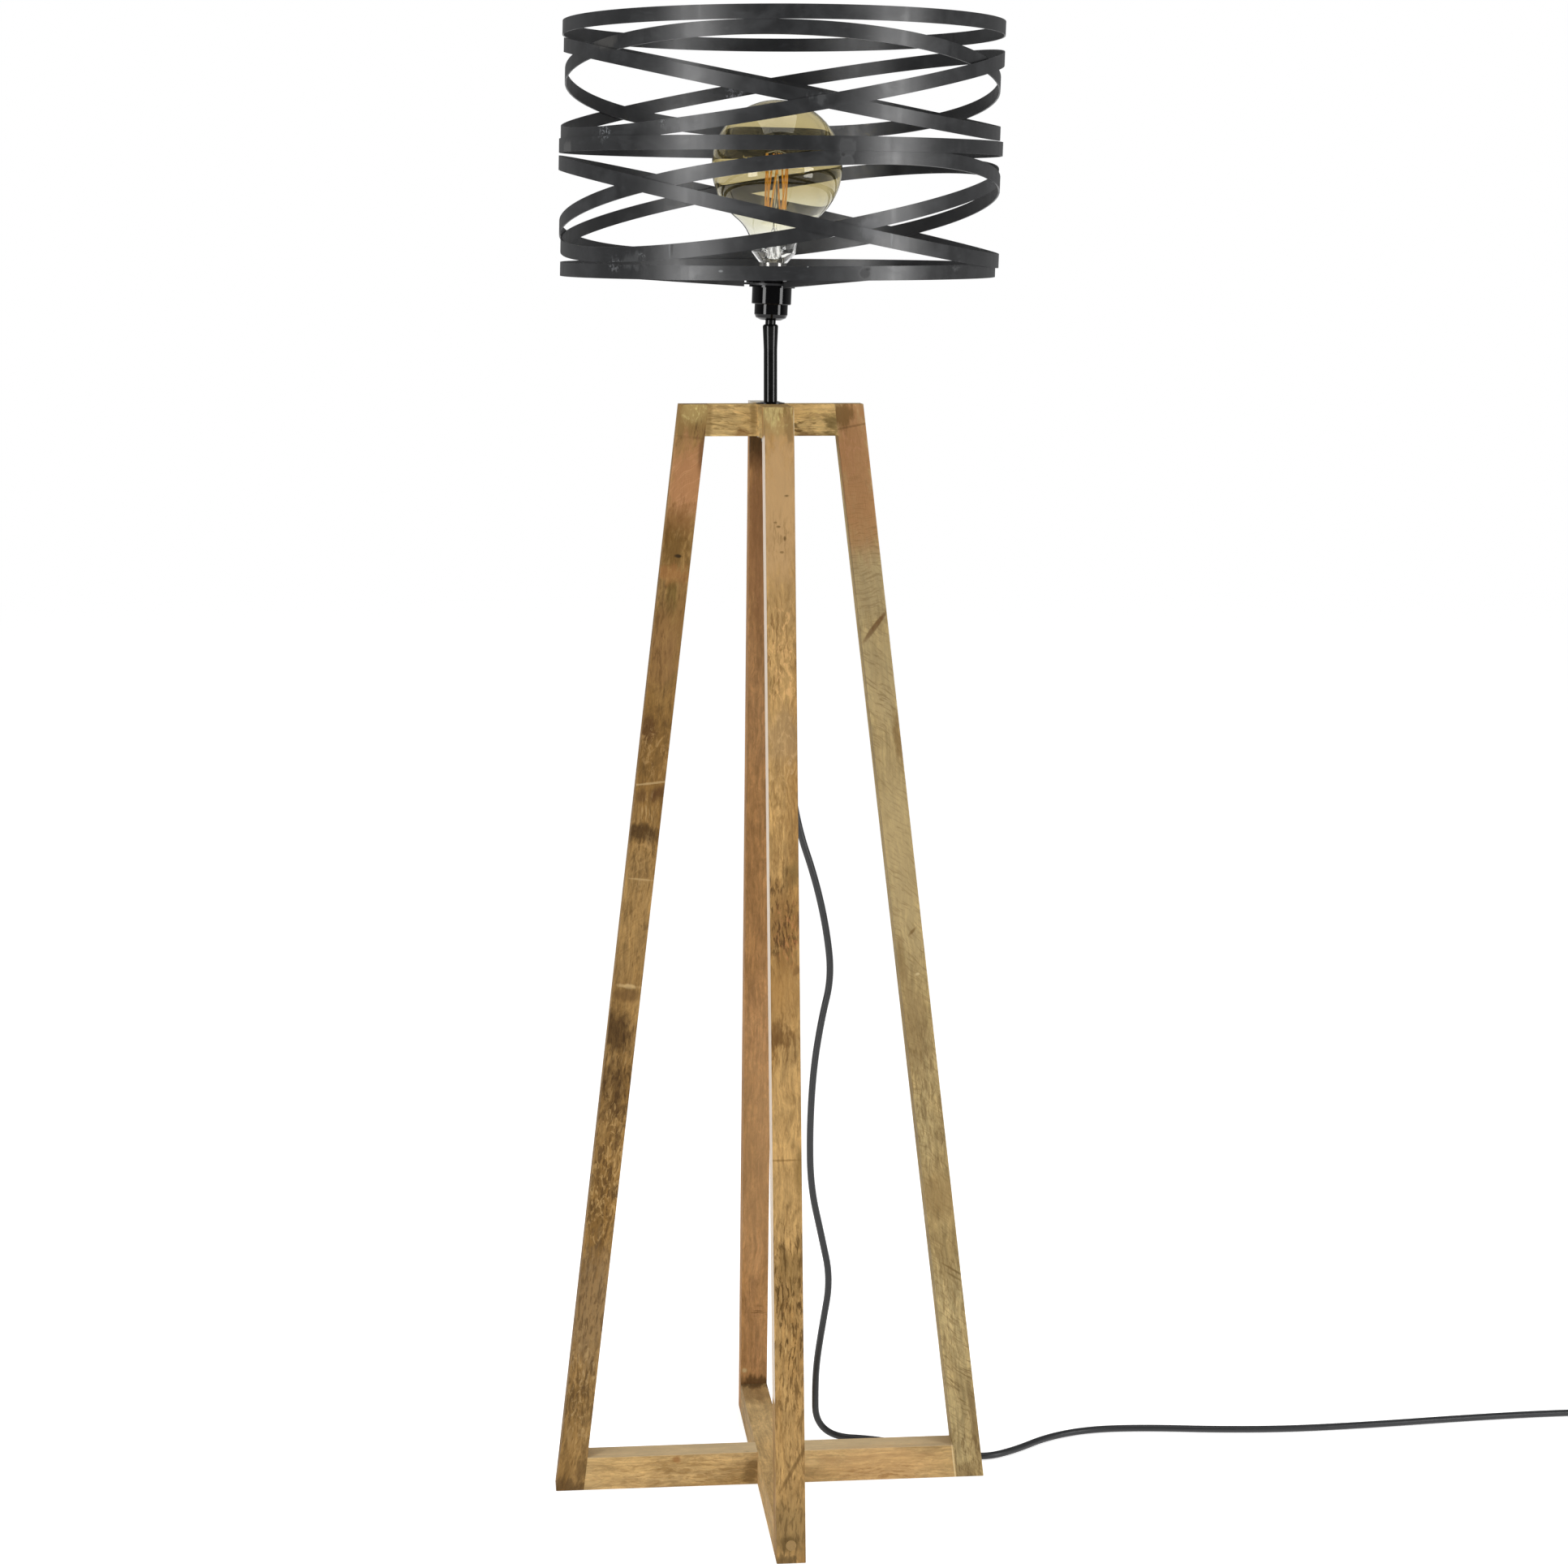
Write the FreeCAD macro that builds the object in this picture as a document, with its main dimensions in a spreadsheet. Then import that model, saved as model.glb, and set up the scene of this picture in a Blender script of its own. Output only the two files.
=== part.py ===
import FreeCAD, Part
import Sketcher
import math
import os

# Floor lamp: a cross of four slanted wooden legs carries a short stem, a lampholder
# and a drum of nine flat steel hoops. Millimetres, +Z up, origin on the floor at the
# centre of the base, legs on the X and Y axes.

os.makedirs("parts", exist_ok=True)
doc = FreeCAD.newDocument("CageFloorLamp")
sheet = doc.addObject("Spreadsheet::Sheet", "Sizes")

driving = {
    "frameHeight": 1091.0,
    "footSpan": 218.5,
    "headSpan": 89.0,
    "legSize": 28.0,
    "legEase": 1.2,
    "footRailHeight": 34.0,
    "headRailHeight": 30.5,
    "plugRadius": 5.0,
    "plugDepth": 8.0,
    "screwHeadHeight": 3.0,
    "screwRadius": 2.5,
    "screwLength": 42.0,
    "dowelRadius": 4.0,
    "dowelInLeg": 16.0,
    "dowelInRail": 20.0,
    "dowelSpacing": 14.0,
    "nippleRadius": 5.0,
    "nippleBore": 3.4,
    "nippleBelow": 8.0,
    "washerRadius": 13.0,
    "washerThickness": 1.5,
    "nutWidth": 15.0,
    "nutHeight": 4.5,
    "glandLength": 22.0,
    "glandRadius": 7.2,
    "glandTip": 4.4,
    "flangeRadius": 14.0,
    "flangeThickness": 2.0,
    "flangeRim": 0.8,
    "stemRadius": 6.5,
    "stemLength": 50.0,
    "bushTopRadius": 7.4,
    "bushLength": 24.0,
    "bushEase": 1.4,
    "boreClearance": 0.2,
    "holderLean": 2.4,
    "viewTurn": -5.4,
    "nippleShort": 1.0,
    "neckSink": 3.0,
    "neckRise": 4.0,
    "lipThickness": 1.5,
    "screwHeadRadius": 3.0,
    "terminalHeight": 2.2,
    "terminalSpacing": 15.0,
    "capRadius": 16.0,
    "capHeight": 15.0,
    "capWall": 2.2,
    "shellRadius": 19.0,
    "shellWall": 2.0,
    "shellHeight": 16.0,
    "collarRadius": 22.0,
    "collarHeight": 2.0,
    "hubRadius": 27.0,
    "hubThickness": 2.0,
    "ringRadius": 25.0,
    "ringHeight": 7.0,
    "ringEase": 1.5,
    "ringClearance": 0.06,
    "insertFloor": 7.0,
    "insertHeight": 26.0,
    "threadRadius": 13.2,
    "threadClearance": 0.06,
    "threadWall": 0.5,
    "tongueWidth": 6.0,
    "tongueHeight": 2.7,
    "tongueGap": 0.3,
    "bulbRadius": 62.5,
    "bulbLength": 179.5,
    "bulbNeckRadius": 21.3,
    "bulbNeckStraight": 0.7,
    "glassWall": 0.8,
    "bulbCapHeight": 26.0,
    "bulbCapEase": 2.0,
    "bulbShoulder": 9.8,
    "bulbBaseHeight": 2.5,
    "bulbTipRadius": 5.0,
    "bulbTipHeight": 1.0,
    "mountRadius": 8.0,
    "mountHeight": 34.0,
    "mountSkirt": 6.0,
    "mountTaper": 8.0,
    "mountRodRadius": 1.6,
    "mountRodLength": 50.0,
    "filamentPairs": 4,
    "filamentTurn": 9.0,
    "filamentSpread": 6.5,
    "filamentRadius": 0.9,
    "filamentTopRadius": 10.5,
    "filamentFootRadius": 10.5,
    "filamentFoot": 51.0,
    "filamentRise": 52.0,
    "wireRadius": 0.3,
    "shadeRadius": 211.7,
    "shadeLean": 1.56,
    "shadeShift": 6.85,
    "shadeRise": 51.0,
    "stripWidth": 13.0,
    "stripThickness": 1.5,
    "spokeHeight": 6.0,
    "spokeDrop": 3.0,
    "spokeThickness": 3.0,
    "cordRadius": 3.5,
    "coilRadius": 38.5,
    "coilPitch": 8.4,
    "coilTurns": 2.0,
    "coilLead": 30.0,
    "bootLength": 26.0,
    "plugLength": 36.0,
    "plugWidth": 35.0,
    "plugThickness": 14.0,
    "pinRadius": 2.0,
    "pinLength": 19.0,
    "pinSpacing": 18.6,
}

# Each hoop of the drum: how far in it lies from the outermost layer, the height of its
# centre line over the drum's foot, half the height it climbs, and the direction, in
# degrees from the lamp's right, in which it stands highest.
hoops = {
    "hoop_top": (1, 226.6, 5.5, -3.2),
    "hoop_upper_front": (3, 176.2, 37.0, 267.0),
    "hoop_upper_left": (2, 170.9, 38.2, 152.4),
    "hoop_upper_right": (1, 165.5, 47.0, 25.5),
    "hoop_middle": (0, 116.0, 5.7, 36.3),
    "hoop_lower_front": (1, 58.4, 45.3, 299.8),
    "hoop_lower_left": (0, 56.0, 41.1, 162.1),
    "hoop_lower_right": (2, 58.8, 48.9, 33.5),
    "hoop_foot": (2, 1.6, 7.0, 35.9),
}


# A size is a number together with the spreadsheet expression that yields it, so that a
# sketch or a solid can be drawn at once and stay bound to the sheet.
class Size:
    def __init__(self, text, value):
        self.text = text
        self.value = value

    def __add__(self, other):
        other = asSize(other)
        return Size("(%s + %s)" % (self.text, other.text), self.value + other.value)

    def __sub__(self, other):
        other = asSize(other)
        return Size("(%s - %s)" % (self.text, other.text), self.value - other.value)

    def __mul__(self, other):
        other = asSize(other)
        return Size("(%s * %s)" % (self.text, other.text), self.value * other.value)

    def __truediv__(self, other):
        other = asSize(other)
        return Size("(%s / %s)" % (self.text, other.text), self.value / other.value)

    def __neg__(self):
        return Size("(0 - %s)" % self.text, -self.value)


def asSize(number):
    if isinstance(number, Size):
        return number
    return Size("%.10g" % number, number)


def root(size):
    return Size("sqrt(%s)" % size.text, math.sqrt(size.value))


def sine(angle):
    return Size("sin(%s)" % angle.text, math.sin(math.radians(angle.value)))


def cosine(angle):
    return Size("cos(%s)" % angle.text, math.cos(math.radians(angle.value)))


def slopeAngle(slope):
    return Size("(atan(%s) / 1 deg)" % slope.text, math.degrees(math.atan(slope.value)))


def addSize(name, value):
    addSize.row += 1
    cell = "A%d" % addSize.row
    sheet.set(cell, "%.10g" % value)
    sheet.setAlias(cell, name)
    return Size("Sizes.%s" % name, float(value))


addSize.row = 0
size = {name: addSize(name, value) for name, value in driving.items()}
for hoopName, (layer, height, climb, heading) in hoops.items():
    key = "".join(word.capitalize() for word in hoopName.split("_"))
    size[hoopName] = (
        layer,
        addSize("height%s" % key, height),
        addSize("climb%s" % key, climb),
        addSize("heading%s" % key, heading),
    )
doc.recompute()


def bind(item, path, length):
    item.setExpression(path, asSize(length).text)


def place(item, base=(0, 0, 0), axis=(0, 0, 1), angle=0):
    item.Placement = FreeCAD.Placement(
        FreeCAD.Vector(0, 0, 0), FreeCAD.Rotation(FreeCAD.Vector(*axis), asSize(angle).value))
    for letter, distance in zip("xyz", base):
        bind(item, "Placement.Base.%s" % letter, distance)
    if isinstance(angle, Size):
        bind(item, "Placement.Rotation.Angle", angle)
    return item


def cylinder(name, radius, height, base=(0, 0, 0), axis=(0, 0, 1), angle=0):
    item = doc.addObject("Part::Cylinder", name)
    bind(item, "Radius", radius)
    bind(item, "Height", height)
    return place(item, base, axis, angle)


def cone(name, footRadius, headRadius, height, base=(0, 0, 0), axis=(0, 0, 1), angle=0):
    item = doc.addObject("Part::Cone", name)
    bind(item, "Radius1", footRadius)
    bind(item, "Radius2", headRadius)
    bind(item, "Height", height)
    return place(item, base, axis, angle)


def box(name, length, width, height, base=(0, 0, 0), axis=(0, 0, 1), angle=0):
    item = doc.addObject("Part::Box", name)
    bind(item, "Length", length)
    bind(item, "Width", width)
    bind(item, "Height", height)
    return place(item, base, axis, angle)


def cut(name, base, tool):
    item = doc.addObject("Part::Cut", name)
    item.Base = base
    item.Tool = tool
    return item


def common(name, first, second):
    item = doc.addObject("Part::Common", name)
    item.Base = first
    item.Tool = second
    return item


def fuse(name, pieces):
    item = doc.addObject("Part::MultiFuse", name)
    item.Shapes = pieces
    return item


def together(name, pieces):
    item = doc.addObject("Part::Compound", name)
    item.Links = pieces
    return item


def originPlane(body, role):
    for feature in body.Origin.OriginFeatures:
        if feature.Role == role:
            return feature


# Draws a closed outline on one of the body's own planes. Every corner is tied to the
# sheet by its two distances from the origin.
def outline(body, role, corners):
    sketch = body.newObject("Sketcher::SketchObject", body.Name + "Outline")
    sketch.AttachmentSupport = [(originPlane(body, role), "")]
    sketch.MapMode = "FlatFace"
    points = [FreeCAD.Vector(asSize(x).value, asSize(y).value, 0) for x, y in corners]
    count = len(points)
    for index in range(count):
        sketch.addGeometry(Part.LineSegment(points[index], points[(index + 1) % count]), False)
    constraints = []
    for index in range(count):
        constraints.append(Sketcher.Constraint("Coincident", index, 2, (index + 1) % count, 1))
    sketch.addConstraint(constraints)
    for index, (x, y) in enumerate(corners):
        for kind, distance in (("DistanceX", asSize(x)), ("DistanceY", asSize(y))):
            number = sketch.addConstraint(
                Sketcher.Constraint(kind, -1, 1, index, 1, distance.value))
            sketch.setExpression("Constraints[%d]" % number, distance.text)
    return sketch


# A piece turned about its own Z axis, from an outline given as radius and height.
def turned(name, corners):
    body = doc.addObject("PartDesign::Body", name)
    sketch = outline(body, "XZ_Plane", corners)
    turn = body.newObject("PartDesign::Revolution", name + "Turn")
    turn.Profile = sketch
    turn.ReferenceAxis = (sketch, ["V_Axis"])
    turn.Angle = 360
    body.Tip = turn
    return body


# A piece cut from a board: its side outline, in X and Z, given the board's thickness.
def sawn(name, corners, thickness):
    body = doc.addObject("PartDesign::Body", name)
    sketch = outline(body, "XZ_Plane", corners)
    pad = body.newObject("PartDesign::Pad", name + "Pad")
    pad.Profile = sketch
    pad.Midplane = True
    bind(pad, "Length", thickness)
    body.Tip = pad
    return body


nodes = {}


def keep(node, item):
    item.Label = node
    nodes[node] = item
    return item


# Wooden frame
frameHeight = size["frameHeight"]
legSize = size["legSize"]
legSlope = (size["footSpan"] - size["headSpan"]) / frameHeight
footAxis = size["footRailHeight"] / 2
headAxis = frameHeight - size["headRailHeight"] / 2
legAngles = {"leg_right": 0, "leg_back": 90, "leg_left": 180, "leg_front": 270}


def legFace(height):
    return size["footSpan"] - legSlope * height


def legBlank(name):
    inner = size["footSpan"] - legSize
    corners = [(inner, 0), (size["footSpan"], 0), (size["headSpan"], frameHeight),
               (size["headSpan"] - legSize, frameHeight)]
    body = sawn(name + "Blank", corners, legSize)
    doc.recompute()
    outerEdges = []
    pad = body.Tip
    for number, edge in enumerate(pad.Shape.Edges, 1):
        middle = edge.CenterOfMass
        isLong = edge.Length > driving["frameHeight"] / 2
        if isLong and middle.x > (driving["footSpan"] + driving["headSpan"] - driving["legSize"]) / 2:
            outerEdges.append("Edge%d" % number)
    ease = body.newObject("PartDesign::Fillet", name + "Ease")
    ease.Base = (pad, outerEdges)
    bind(ease, "Radius", size["legEase"])
    body.Tip = ease
    return body


def screwHoles(name):
    plugSeat = legFace(footAxis) - size["plugDepth"] - size["screwHeadHeight"]
    wide = cylinder(name + "PlugHole", size["plugRadius"], legSize, (plugSeat, 0, footAxis),
                    (0, 1, 0), 90)
    narrow = cylinder(name + "ScrewHole", size["screwRadius"], legSize, (plugSeat - legSize, 0, footAxis),
                      (0, 1, 0), 90)
    return [wide, narrow]


def dowelHoles(name):
    start = legFace(headAxis) - legSize
    pieces = []
    for side in (-1, 1):
        pieces.append(cylinder("%sDowelHole%d" % (name, side + 1), size["dowelRadius"],
                               size["dowelInLeg"] + size["dowelInRail"],
                               (start - size["dowelInRail"], size["dowelSpacing"] / 2 * side, headAxis),
                               (0, 1, 0), 90))
    return pieces


for legName, angle in legAngles.items():
    drilled = fuse(legName + "Drilled", screwHoles(legName) + dowelHoles(legName))
    leg = cut(legName + "Cut", legBlank(legName), drilled)
    place(keep(legName, leg), angle=angle)


def rail(name, low, high, axis, lapSide, bores):
    innerLow = legFace(low) - legSize
    innerHigh = legFace(high) - legSize
    corners = [(-innerLow, low), (innerLow, low), (innerHigh, high), (-innerHigh, high)]
    blank = sawn(name + "Blank", corners, legSize)
    middle = (low + high) / 2
    start = middle if lapSide > 0 else low
    lap = box(name + "Lap", legSize, legSize, (high - low) / 2, (-legSize / 2, -legSize / 2, start))
    pieces = [lap]
    for angle in (0, 180):
        for number, (radius, length, offset) in enumerate(bores):
            reach = legFace(axis) - legSize
            turn = math.cos(math.radians(angle))
            pieces.append(cylinder("%sBore%d_%d" % (name, angle, number), radius, length + radius,
                                   ((reach - length) * turn, offset, axis), (0, 1, 0), 90 * turn))
    return blank, pieces


screwReach = legFace(footAxis) - size["plugDepth"] - size["screwHeadHeight"] - size["screwLength"]
screwInRail = legFace(footAxis) - legSize - screwReach
screwBore = [(size["screwRadius"], screwInRail, 0)]
dowelBores = [(size["dowelRadius"], size["dowelInRail"], size["dowelSpacing"] / 2 * side)
              for side in (-1, 1)]
stemHole = size["nippleRadius"] + size["boreClearance"]
headLow = frameHeight - size["headRailHeight"]
for railName, low, high, axis, lapSide, angle, bores in (
        ("foot_rail_across", asSize(0), size["footRailHeight"], footAxis, 1, 0, screwBore),
        ("foot_rail_deep", asSize(0), size["footRailHeight"], footAxis, -1, 90, screwBore),
        ("head_rail_across", headLow, frameHeight, headAxis, 1, 0, dowelBores),
        ("head_rail_deep", headLow, frameHeight, headAxis, -1, 90, dowelBores)):
    blank, pieces = rail(railName, low, high, axis, lapSide, bores)
    if railName.startswith("head"):
        pieces.append(cylinder(railName + "StemHole", stemHole, size["headRailHeight"], (0, 0, headLow)))
    cutter = fuse(railName + "Cutter", pieces)
    place(keep(railName, cut(railName + "Cut", blank, cutter)), angle=angle)


def ringOfFour(pieces):
    placed = []
    for angle in legAngles.values():
        for piece in pieces(angle):
            placed.append(piece)
    return placed


def footScrew(angle):
    head = legFace(footAxis) - size["plugDepth"] - size["screwHeadHeight"]
    top = cylinder("ScrewHead%d" % angle, size["plugRadius"], size["screwHeadHeight"],
                   (head, 0, footAxis), (0, 1, 0), 90)
    shank = cylinder("ScrewShank%d" % angle, size["screwRadius"], size["screwLength"],
                     (head - size["screwLength"], 0, footAxis), (0, 1, 0), 90)
    return [place(fuse("Screw%d" % angle, [top, shank]), angle=angle)]


def footPlug(angle):
    start = legFace(footAxis) - size["plugDepth"]
    peg = cylinder("PlugPeg%d" % angle, size["plugRadius"], size["plugDepth"] * 2,
                   (start, 0, footAxis), (0, 1, 0), 90)
    inner = size["footSpan"] - legSize
    corners = [(inner, 0), (size["footSpan"], 0), (size["headSpan"], frameHeight),
               (size["headSpan"] - legSize, frameHeight)]
    trim = sawn("PlugTrim%d" % angle, corners, legSize)
    return [place(common("Plug%d" % angle, peg, trim), angle=angle)]


def headDowels(angle):
    start = legFace(headAxis) - legSize - size["dowelInRail"]
    pegs = []
    for side in (-1, 1):
        pegs.append(cylinder("Dowel%d_%d" % (angle, side + 1), size["dowelRadius"],
                             size["dowelInLeg"] + size["dowelInRail"],
                             (start, size["dowelSpacing"] / 2 * side, headAxis), (0, 1, 0), 90))
    return [place(together("DowelPair%d" % angle, pegs), angle=angle)]


keep("foot_screws", together("FootScrews", ringOfFour(footScrew)))
keep("foot_plugs", together("FootPlugs", ringOfFour(footPlug)))
keep("head_dowels", together("HeadDowels", ringOfFour(headDowels)))

# Stem and what clamps it to the top cross
flangeTop = frameHeight + size["flangeThickness"]
stemTop = flangeTop + size["stemLength"]
bushTop = stemTop + size["bushLength"]
nippleFoot = headLow - size["nippleBelow"]
nippleTop = bushTop - size["nippleShort"]
stemBore = size["nippleRadius"] + size["boreClearance"]

keep("threaded_nipple", turned("Nipple", [
    (size["nippleBore"], nippleFoot), (size["nippleRadius"], nippleFoot),
    (size["nippleRadius"], nippleTop), (size["nippleBore"], nippleTop)]))
keep("stem_flange", turned("Flange", [
    (stemBore, frameHeight), (size["flangeRadius"], frameHeight),
    (size["flangeRadius"], frameHeight + size["flangeRim"]),
    (size["stemRadius"] + size["flangeThickness"], flangeTop), (stemBore, flangeTop)]))
keep("stem_tube", turned("StemTube", [
    (stemBore, flangeTop), (size["stemRadius"], flangeTop), (size["stemRadius"], stemTop),
    (stemBore, stemTop)]))
keep("stem_bush", turned("StemBush", [
    (stemBore, stemTop), (size["stemRadius"], stemTop),
    (size["bushTopRadius"], bushTop - size["bushEase"] * 2),
    (size["bushTopRadius"], bushTop - size["bushEase"]),
    (size["bushTopRadius"] - size["bushEase"], bushTop), (stemBore, bushTop)]))
keep("clamp_washer", turned("Washer", [
    (stemBore, headLow - size["washerThickness"]),
    (size["washerRadius"], headLow - size["washerThickness"]),
    (size["washerRadius"], headLow), (stemBore, headLow)]))

nutTop = headLow - size["washerThickness"]
hexagon = doc.addObject("Part::Prism", "NutHexagon")
hexagon.Polygon = 6
bind(hexagon, "Circumradius", size["nutWidth"] / 2 / root(asSize(0.75)))
bind(hexagon, "Height", size["nutHeight"])
place(hexagon, (0, 0, nutTop - size["nutHeight"]))
nutHole = cylinder("NutHole", size["nippleRadius"], size["nutHeight"], (0, 0, nutTop - size["nutHeight"]))
keep("lock_nut", cut("LockNut", hexagon, nutHole))
glandTop = nippleFoot
glandFoot = glandTop - size["glandLength"]
keep("cord_gland", turned("CordGland", [
    (0, glandFoot), (size["glandTip"], glandFoot),
    (size["glandRadius"], glandTop - size["glandLength"] / 2),
    (size["glandRadius"], glandTop), (0, glandTop)]))

# Lampholder, which leans a little towards the lamp's right
leanPivot = bushTop


def leanVector():
    turn = math.radians(driving["viewTurn"])
    return (-math.sin(turn), math.cos(turn), 0)


def lean(item):
    return place(item, (0, 0, leanPivot), leanVector(), size["holderLean"])


capLow = size["neckRise"]
capTop = capLow + size["capHeight"]
shellTop = capTop + size["shellHeight"]
collarTop = shellTop + size["collarHeight"]
hubTop = collarTop + size["hubThickness"]
ringTop = hubTop + size["ringHeight"]
shellBore = size["shellRadius"] - size["shellWall"]
capBore = size["capRadius"] - size["capWall"]
lipBore = size["capRadius"] - size["lipThickness"]
lipTop = capTop + size["lipThickness"]

neck = lean(turned("NeckBlank", [
    (size["nippleBore"], -size["neckSink"]), (size["nippleRadius"], -size["neckSink"]),
    (size["nippleRadius"], capLow + size["capWall"]), (size["nippleBore"], capLow + size["capWall"])]))
neckTrim = cylinder("NeckTrim", size["stemRadius"], size["neckSink"] * 2,
                    (0, 0, nippleTop - size["neckSink"] * 2))
keep("holder_neck", cut("HolderNeck", neck, neckTrim))
keep("holder_cap", lean(turned("HolderCap", [
    (size["nippleRadius"], capLow), (size["capRadius"] * 0.62, capLow),
    (size["capRadius"] * 0.9, capLow + size["capWall"]),
    (size["capRadius"], capLow + size["capWall"] * 2.5),
    (size["capRadius"], capTop), (capBore, capTop),
    (capBore, capLow + size["capWall"] * 2.5),
    (capBore - size["capWall"], capLow + size["capWall"]),
    (size["nippleRadius"], capLow + size["capWall"])])))
keep("holder_shell", lean(turned("HolderShell", [
    (lipBore, capTop), (size["shellRadius"] - 0.7, capTop), (size["shellRadius"], capTop + 0.7),
    (size["shellRadius"], shellTop), (size["collarRadius"], shellTop),
    (size["collarRadius"], collarTop), (size["shellRadius"], collarTop),
    (size["shellRadius"], ringTop), (shellBore, ringTop), (shellBore, lipTop), (lipBore, lipTop)])))
keep("shade_ring", lean(turned("ShadeRing", [
    (size["shellRadius"] + size["ringClearance"], hubTop + size["ringClearance"]),
    (size["ringRadius"], hubTop + size["ringClearance"]),
    (size["ringRadius"], ringTop - size["ringEase"]), (size["ringRadius"] - size["ringEase"], ringTop),
    (size["shellRadius"] + size["ringClearance"], ringTop)])))

threadBore = size["threadRadius"] + size["threadClearance"]
threadSeat = threadBore + size["threadWall"]
insertFloor = capTop + size["insertFloor"]
insertTop = capTop + size["insertHeight"]
keep("holder_insert", lean(turned("HolderInsert", [
    (0, capTop), (lipBore, capTop), (lipBore, lipTop), (shellBore, lipTop),
    (shellBore, insertTop), (threadSeat, insertTop), (threadSeat, insertFloor), (0, insertFloor)])))
keep("thread_shell", lean(turned("ThreadShell", [
    (threadBore, insertFloor), (threadSeat, insertFloor), (threadSeat, insertTop),
    (threadBore, insertTop)])))
terminals = [cylinder("Terminal%d" % (side + 1), size["screwHeadRadius"], size["terminalHeight"],
                      (size["terminalSpacing"] / 2 * side, 0, capTop - size["terminalHeight"]))
             for side in (-1, 1)]
keep("terminal_screws", lean(together("TerminalScrews", terminals)))

# Bulb: globe, neck, screw cap and the parts seen through the glass
bulbTipLow = insertFloor + size["tongueHeight"] + size["tongueGap"]
bulbTipTop = bulbTipLow + size["bulbTipHeight"]
bulbCapLow = bulbTipTop + size["bulbBaseHeight"]
bulbCapTop = bulbCapLow + size["bulbCapHeight"]
shoulderTop = bulbCapTop + size["bulbShoulder"]
globeCentre = bulbCapLow + size["bulbLength"] - size["bulbRadius"]
curveCentre = shoulderTop + size["bulbNeckStraight"]
curveDrop = globeCentre - curveCentre
# the hollow curve of the neck meets the globe smoothly, whatever the bulb's length
neckCurve = ((curveDrop * curveDrop - size["bulbRadius"] * size["bulbRadius"]
              + size["bulbNeckRadius"] * size["bulbNeckRadius"])
             / ((size["bulbRadius"] - size["bulbNeckRadius"]) * 2))
curveReach = size["bulbNeckRadius"] + neckCurve
flareShare = size["bulbRadius"] / (size["bulbRadius"] + neckCurve)


def globe(name, inset):
    sphere = doc.addObject("Part::Sphere", name + "Sphere")
    bind(sphere, "Radius", size["bulbRadius"] - inset)
    place(sphere, (0, 0, globeCentre))
    shoulder = cone(name + "Shoulder", size["threadRadius"] - inset, size["bulbNeckRadius"] - inset,
                    size["bulbShoulder"], (0, 0, bulbCapTop))
    neck = cylinder(name + "Neck", size["bulbNeckRadius"] - inset, curveCentre - shoulderTop,
                    (0, 0, shoulderTop))
    flareTop = curveDrop * (asSize(1) - flareShare)
    block = cylinder(name + "FlareBlock", curveReach * flareShare, flareTop, (0, 0, curveCentre))
    hollow = doc.addObject("Part::Torus", name + "FlareCurve")
    bind(hollow, "Radius1", curveReach)
    bind(hollow, "Radius2", neckCurve + inset)
    place(hollow, (0, 0, curveCentre))
    flare = cut(name + "Flare", block, hollow)
    return fuse(name, [sphere, shoulder, neck, flare])


keep("bulb_glass", lean(cut("BulbGlass", globe("GlassOutside", asSize(0)),
                            globe("GlassInside", size["glassWall"]))))
bulbCapFoot = size["threadRadius"] - size["bulbCapEase"]
keep("bulb_cap", lean(turned("BulbCap", [
    (0, bulbCapLow), (bulbCapFoot, bulbCapLow), (size["threadRadius"], bulbCapLow + size["bulbCapEase"]),
    (size["threadRadius"], bulbCapTop), (0, bulbCapTop)])))
keep("bulb_base", lean(turned("BulbBase", [
    (0, bulbTipTop), (size["bulbTipRadius"] + size["ringEase"], bulbTipTop),
    (bulbCapFoot, bulbCapLow), (0, bulbCapLow)])))
keep("bulb_tip", lean(turned("BulbTip", [
    (0, bulbTipLow), (size["bulbTipRadius"] - 1, bulbTipLow),
    (size["bulbTipRadius"], bulbTipTop), (0, bulbTipTop)])))
tongue = box("Tongue", size["tongueWidth"], size["tongueWidth"], size["tongueHeight"],
             (-size["tongueWidth"] / 2, -size["tongueWidth"] / 2, insertFloor))
keep("contact_tongue", lean(together("ContactTongue", [tongue])))

mountTop = bulbCapTop + size["mountHeight"]
keep("bulb_mount", lean(turned("BulbMount", [
    (0, bulbCapTop), (size["mountRadius"] * 1.4, bulbCapTop),
    (size["mountRadius"], bulbCapTop + size["mountSkirt"]),
    (size["mountRadius"] * 0.55, mountTop - size["mountTaper"]), (size["mountRodRadius"], mountTop),
    (size["mountRodRadius"], mountTop + size["mountRodLength"]), (0, mountTop + size["mountRodLength"])])))

filamentLow = bulbCapTop + size["filamentFoot"]
filamentTop = filamentLow + size["filamentRise"]


def rodBetween(name, start, end, radius):
    first = FreeCAD.Vector(*start)
    second = FreeCAD.Vector(*end)
    item = doc.addObject("Part::Cylinder", name)
    bind(item, "Radius", radius)
    item.Height = (second - first).Length
    item.Placement = FreeCAD.Placement(first, FreeCAD.Rotation(FreeCAD.Vector(0, 0, 1), second - first))
    return item


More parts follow.
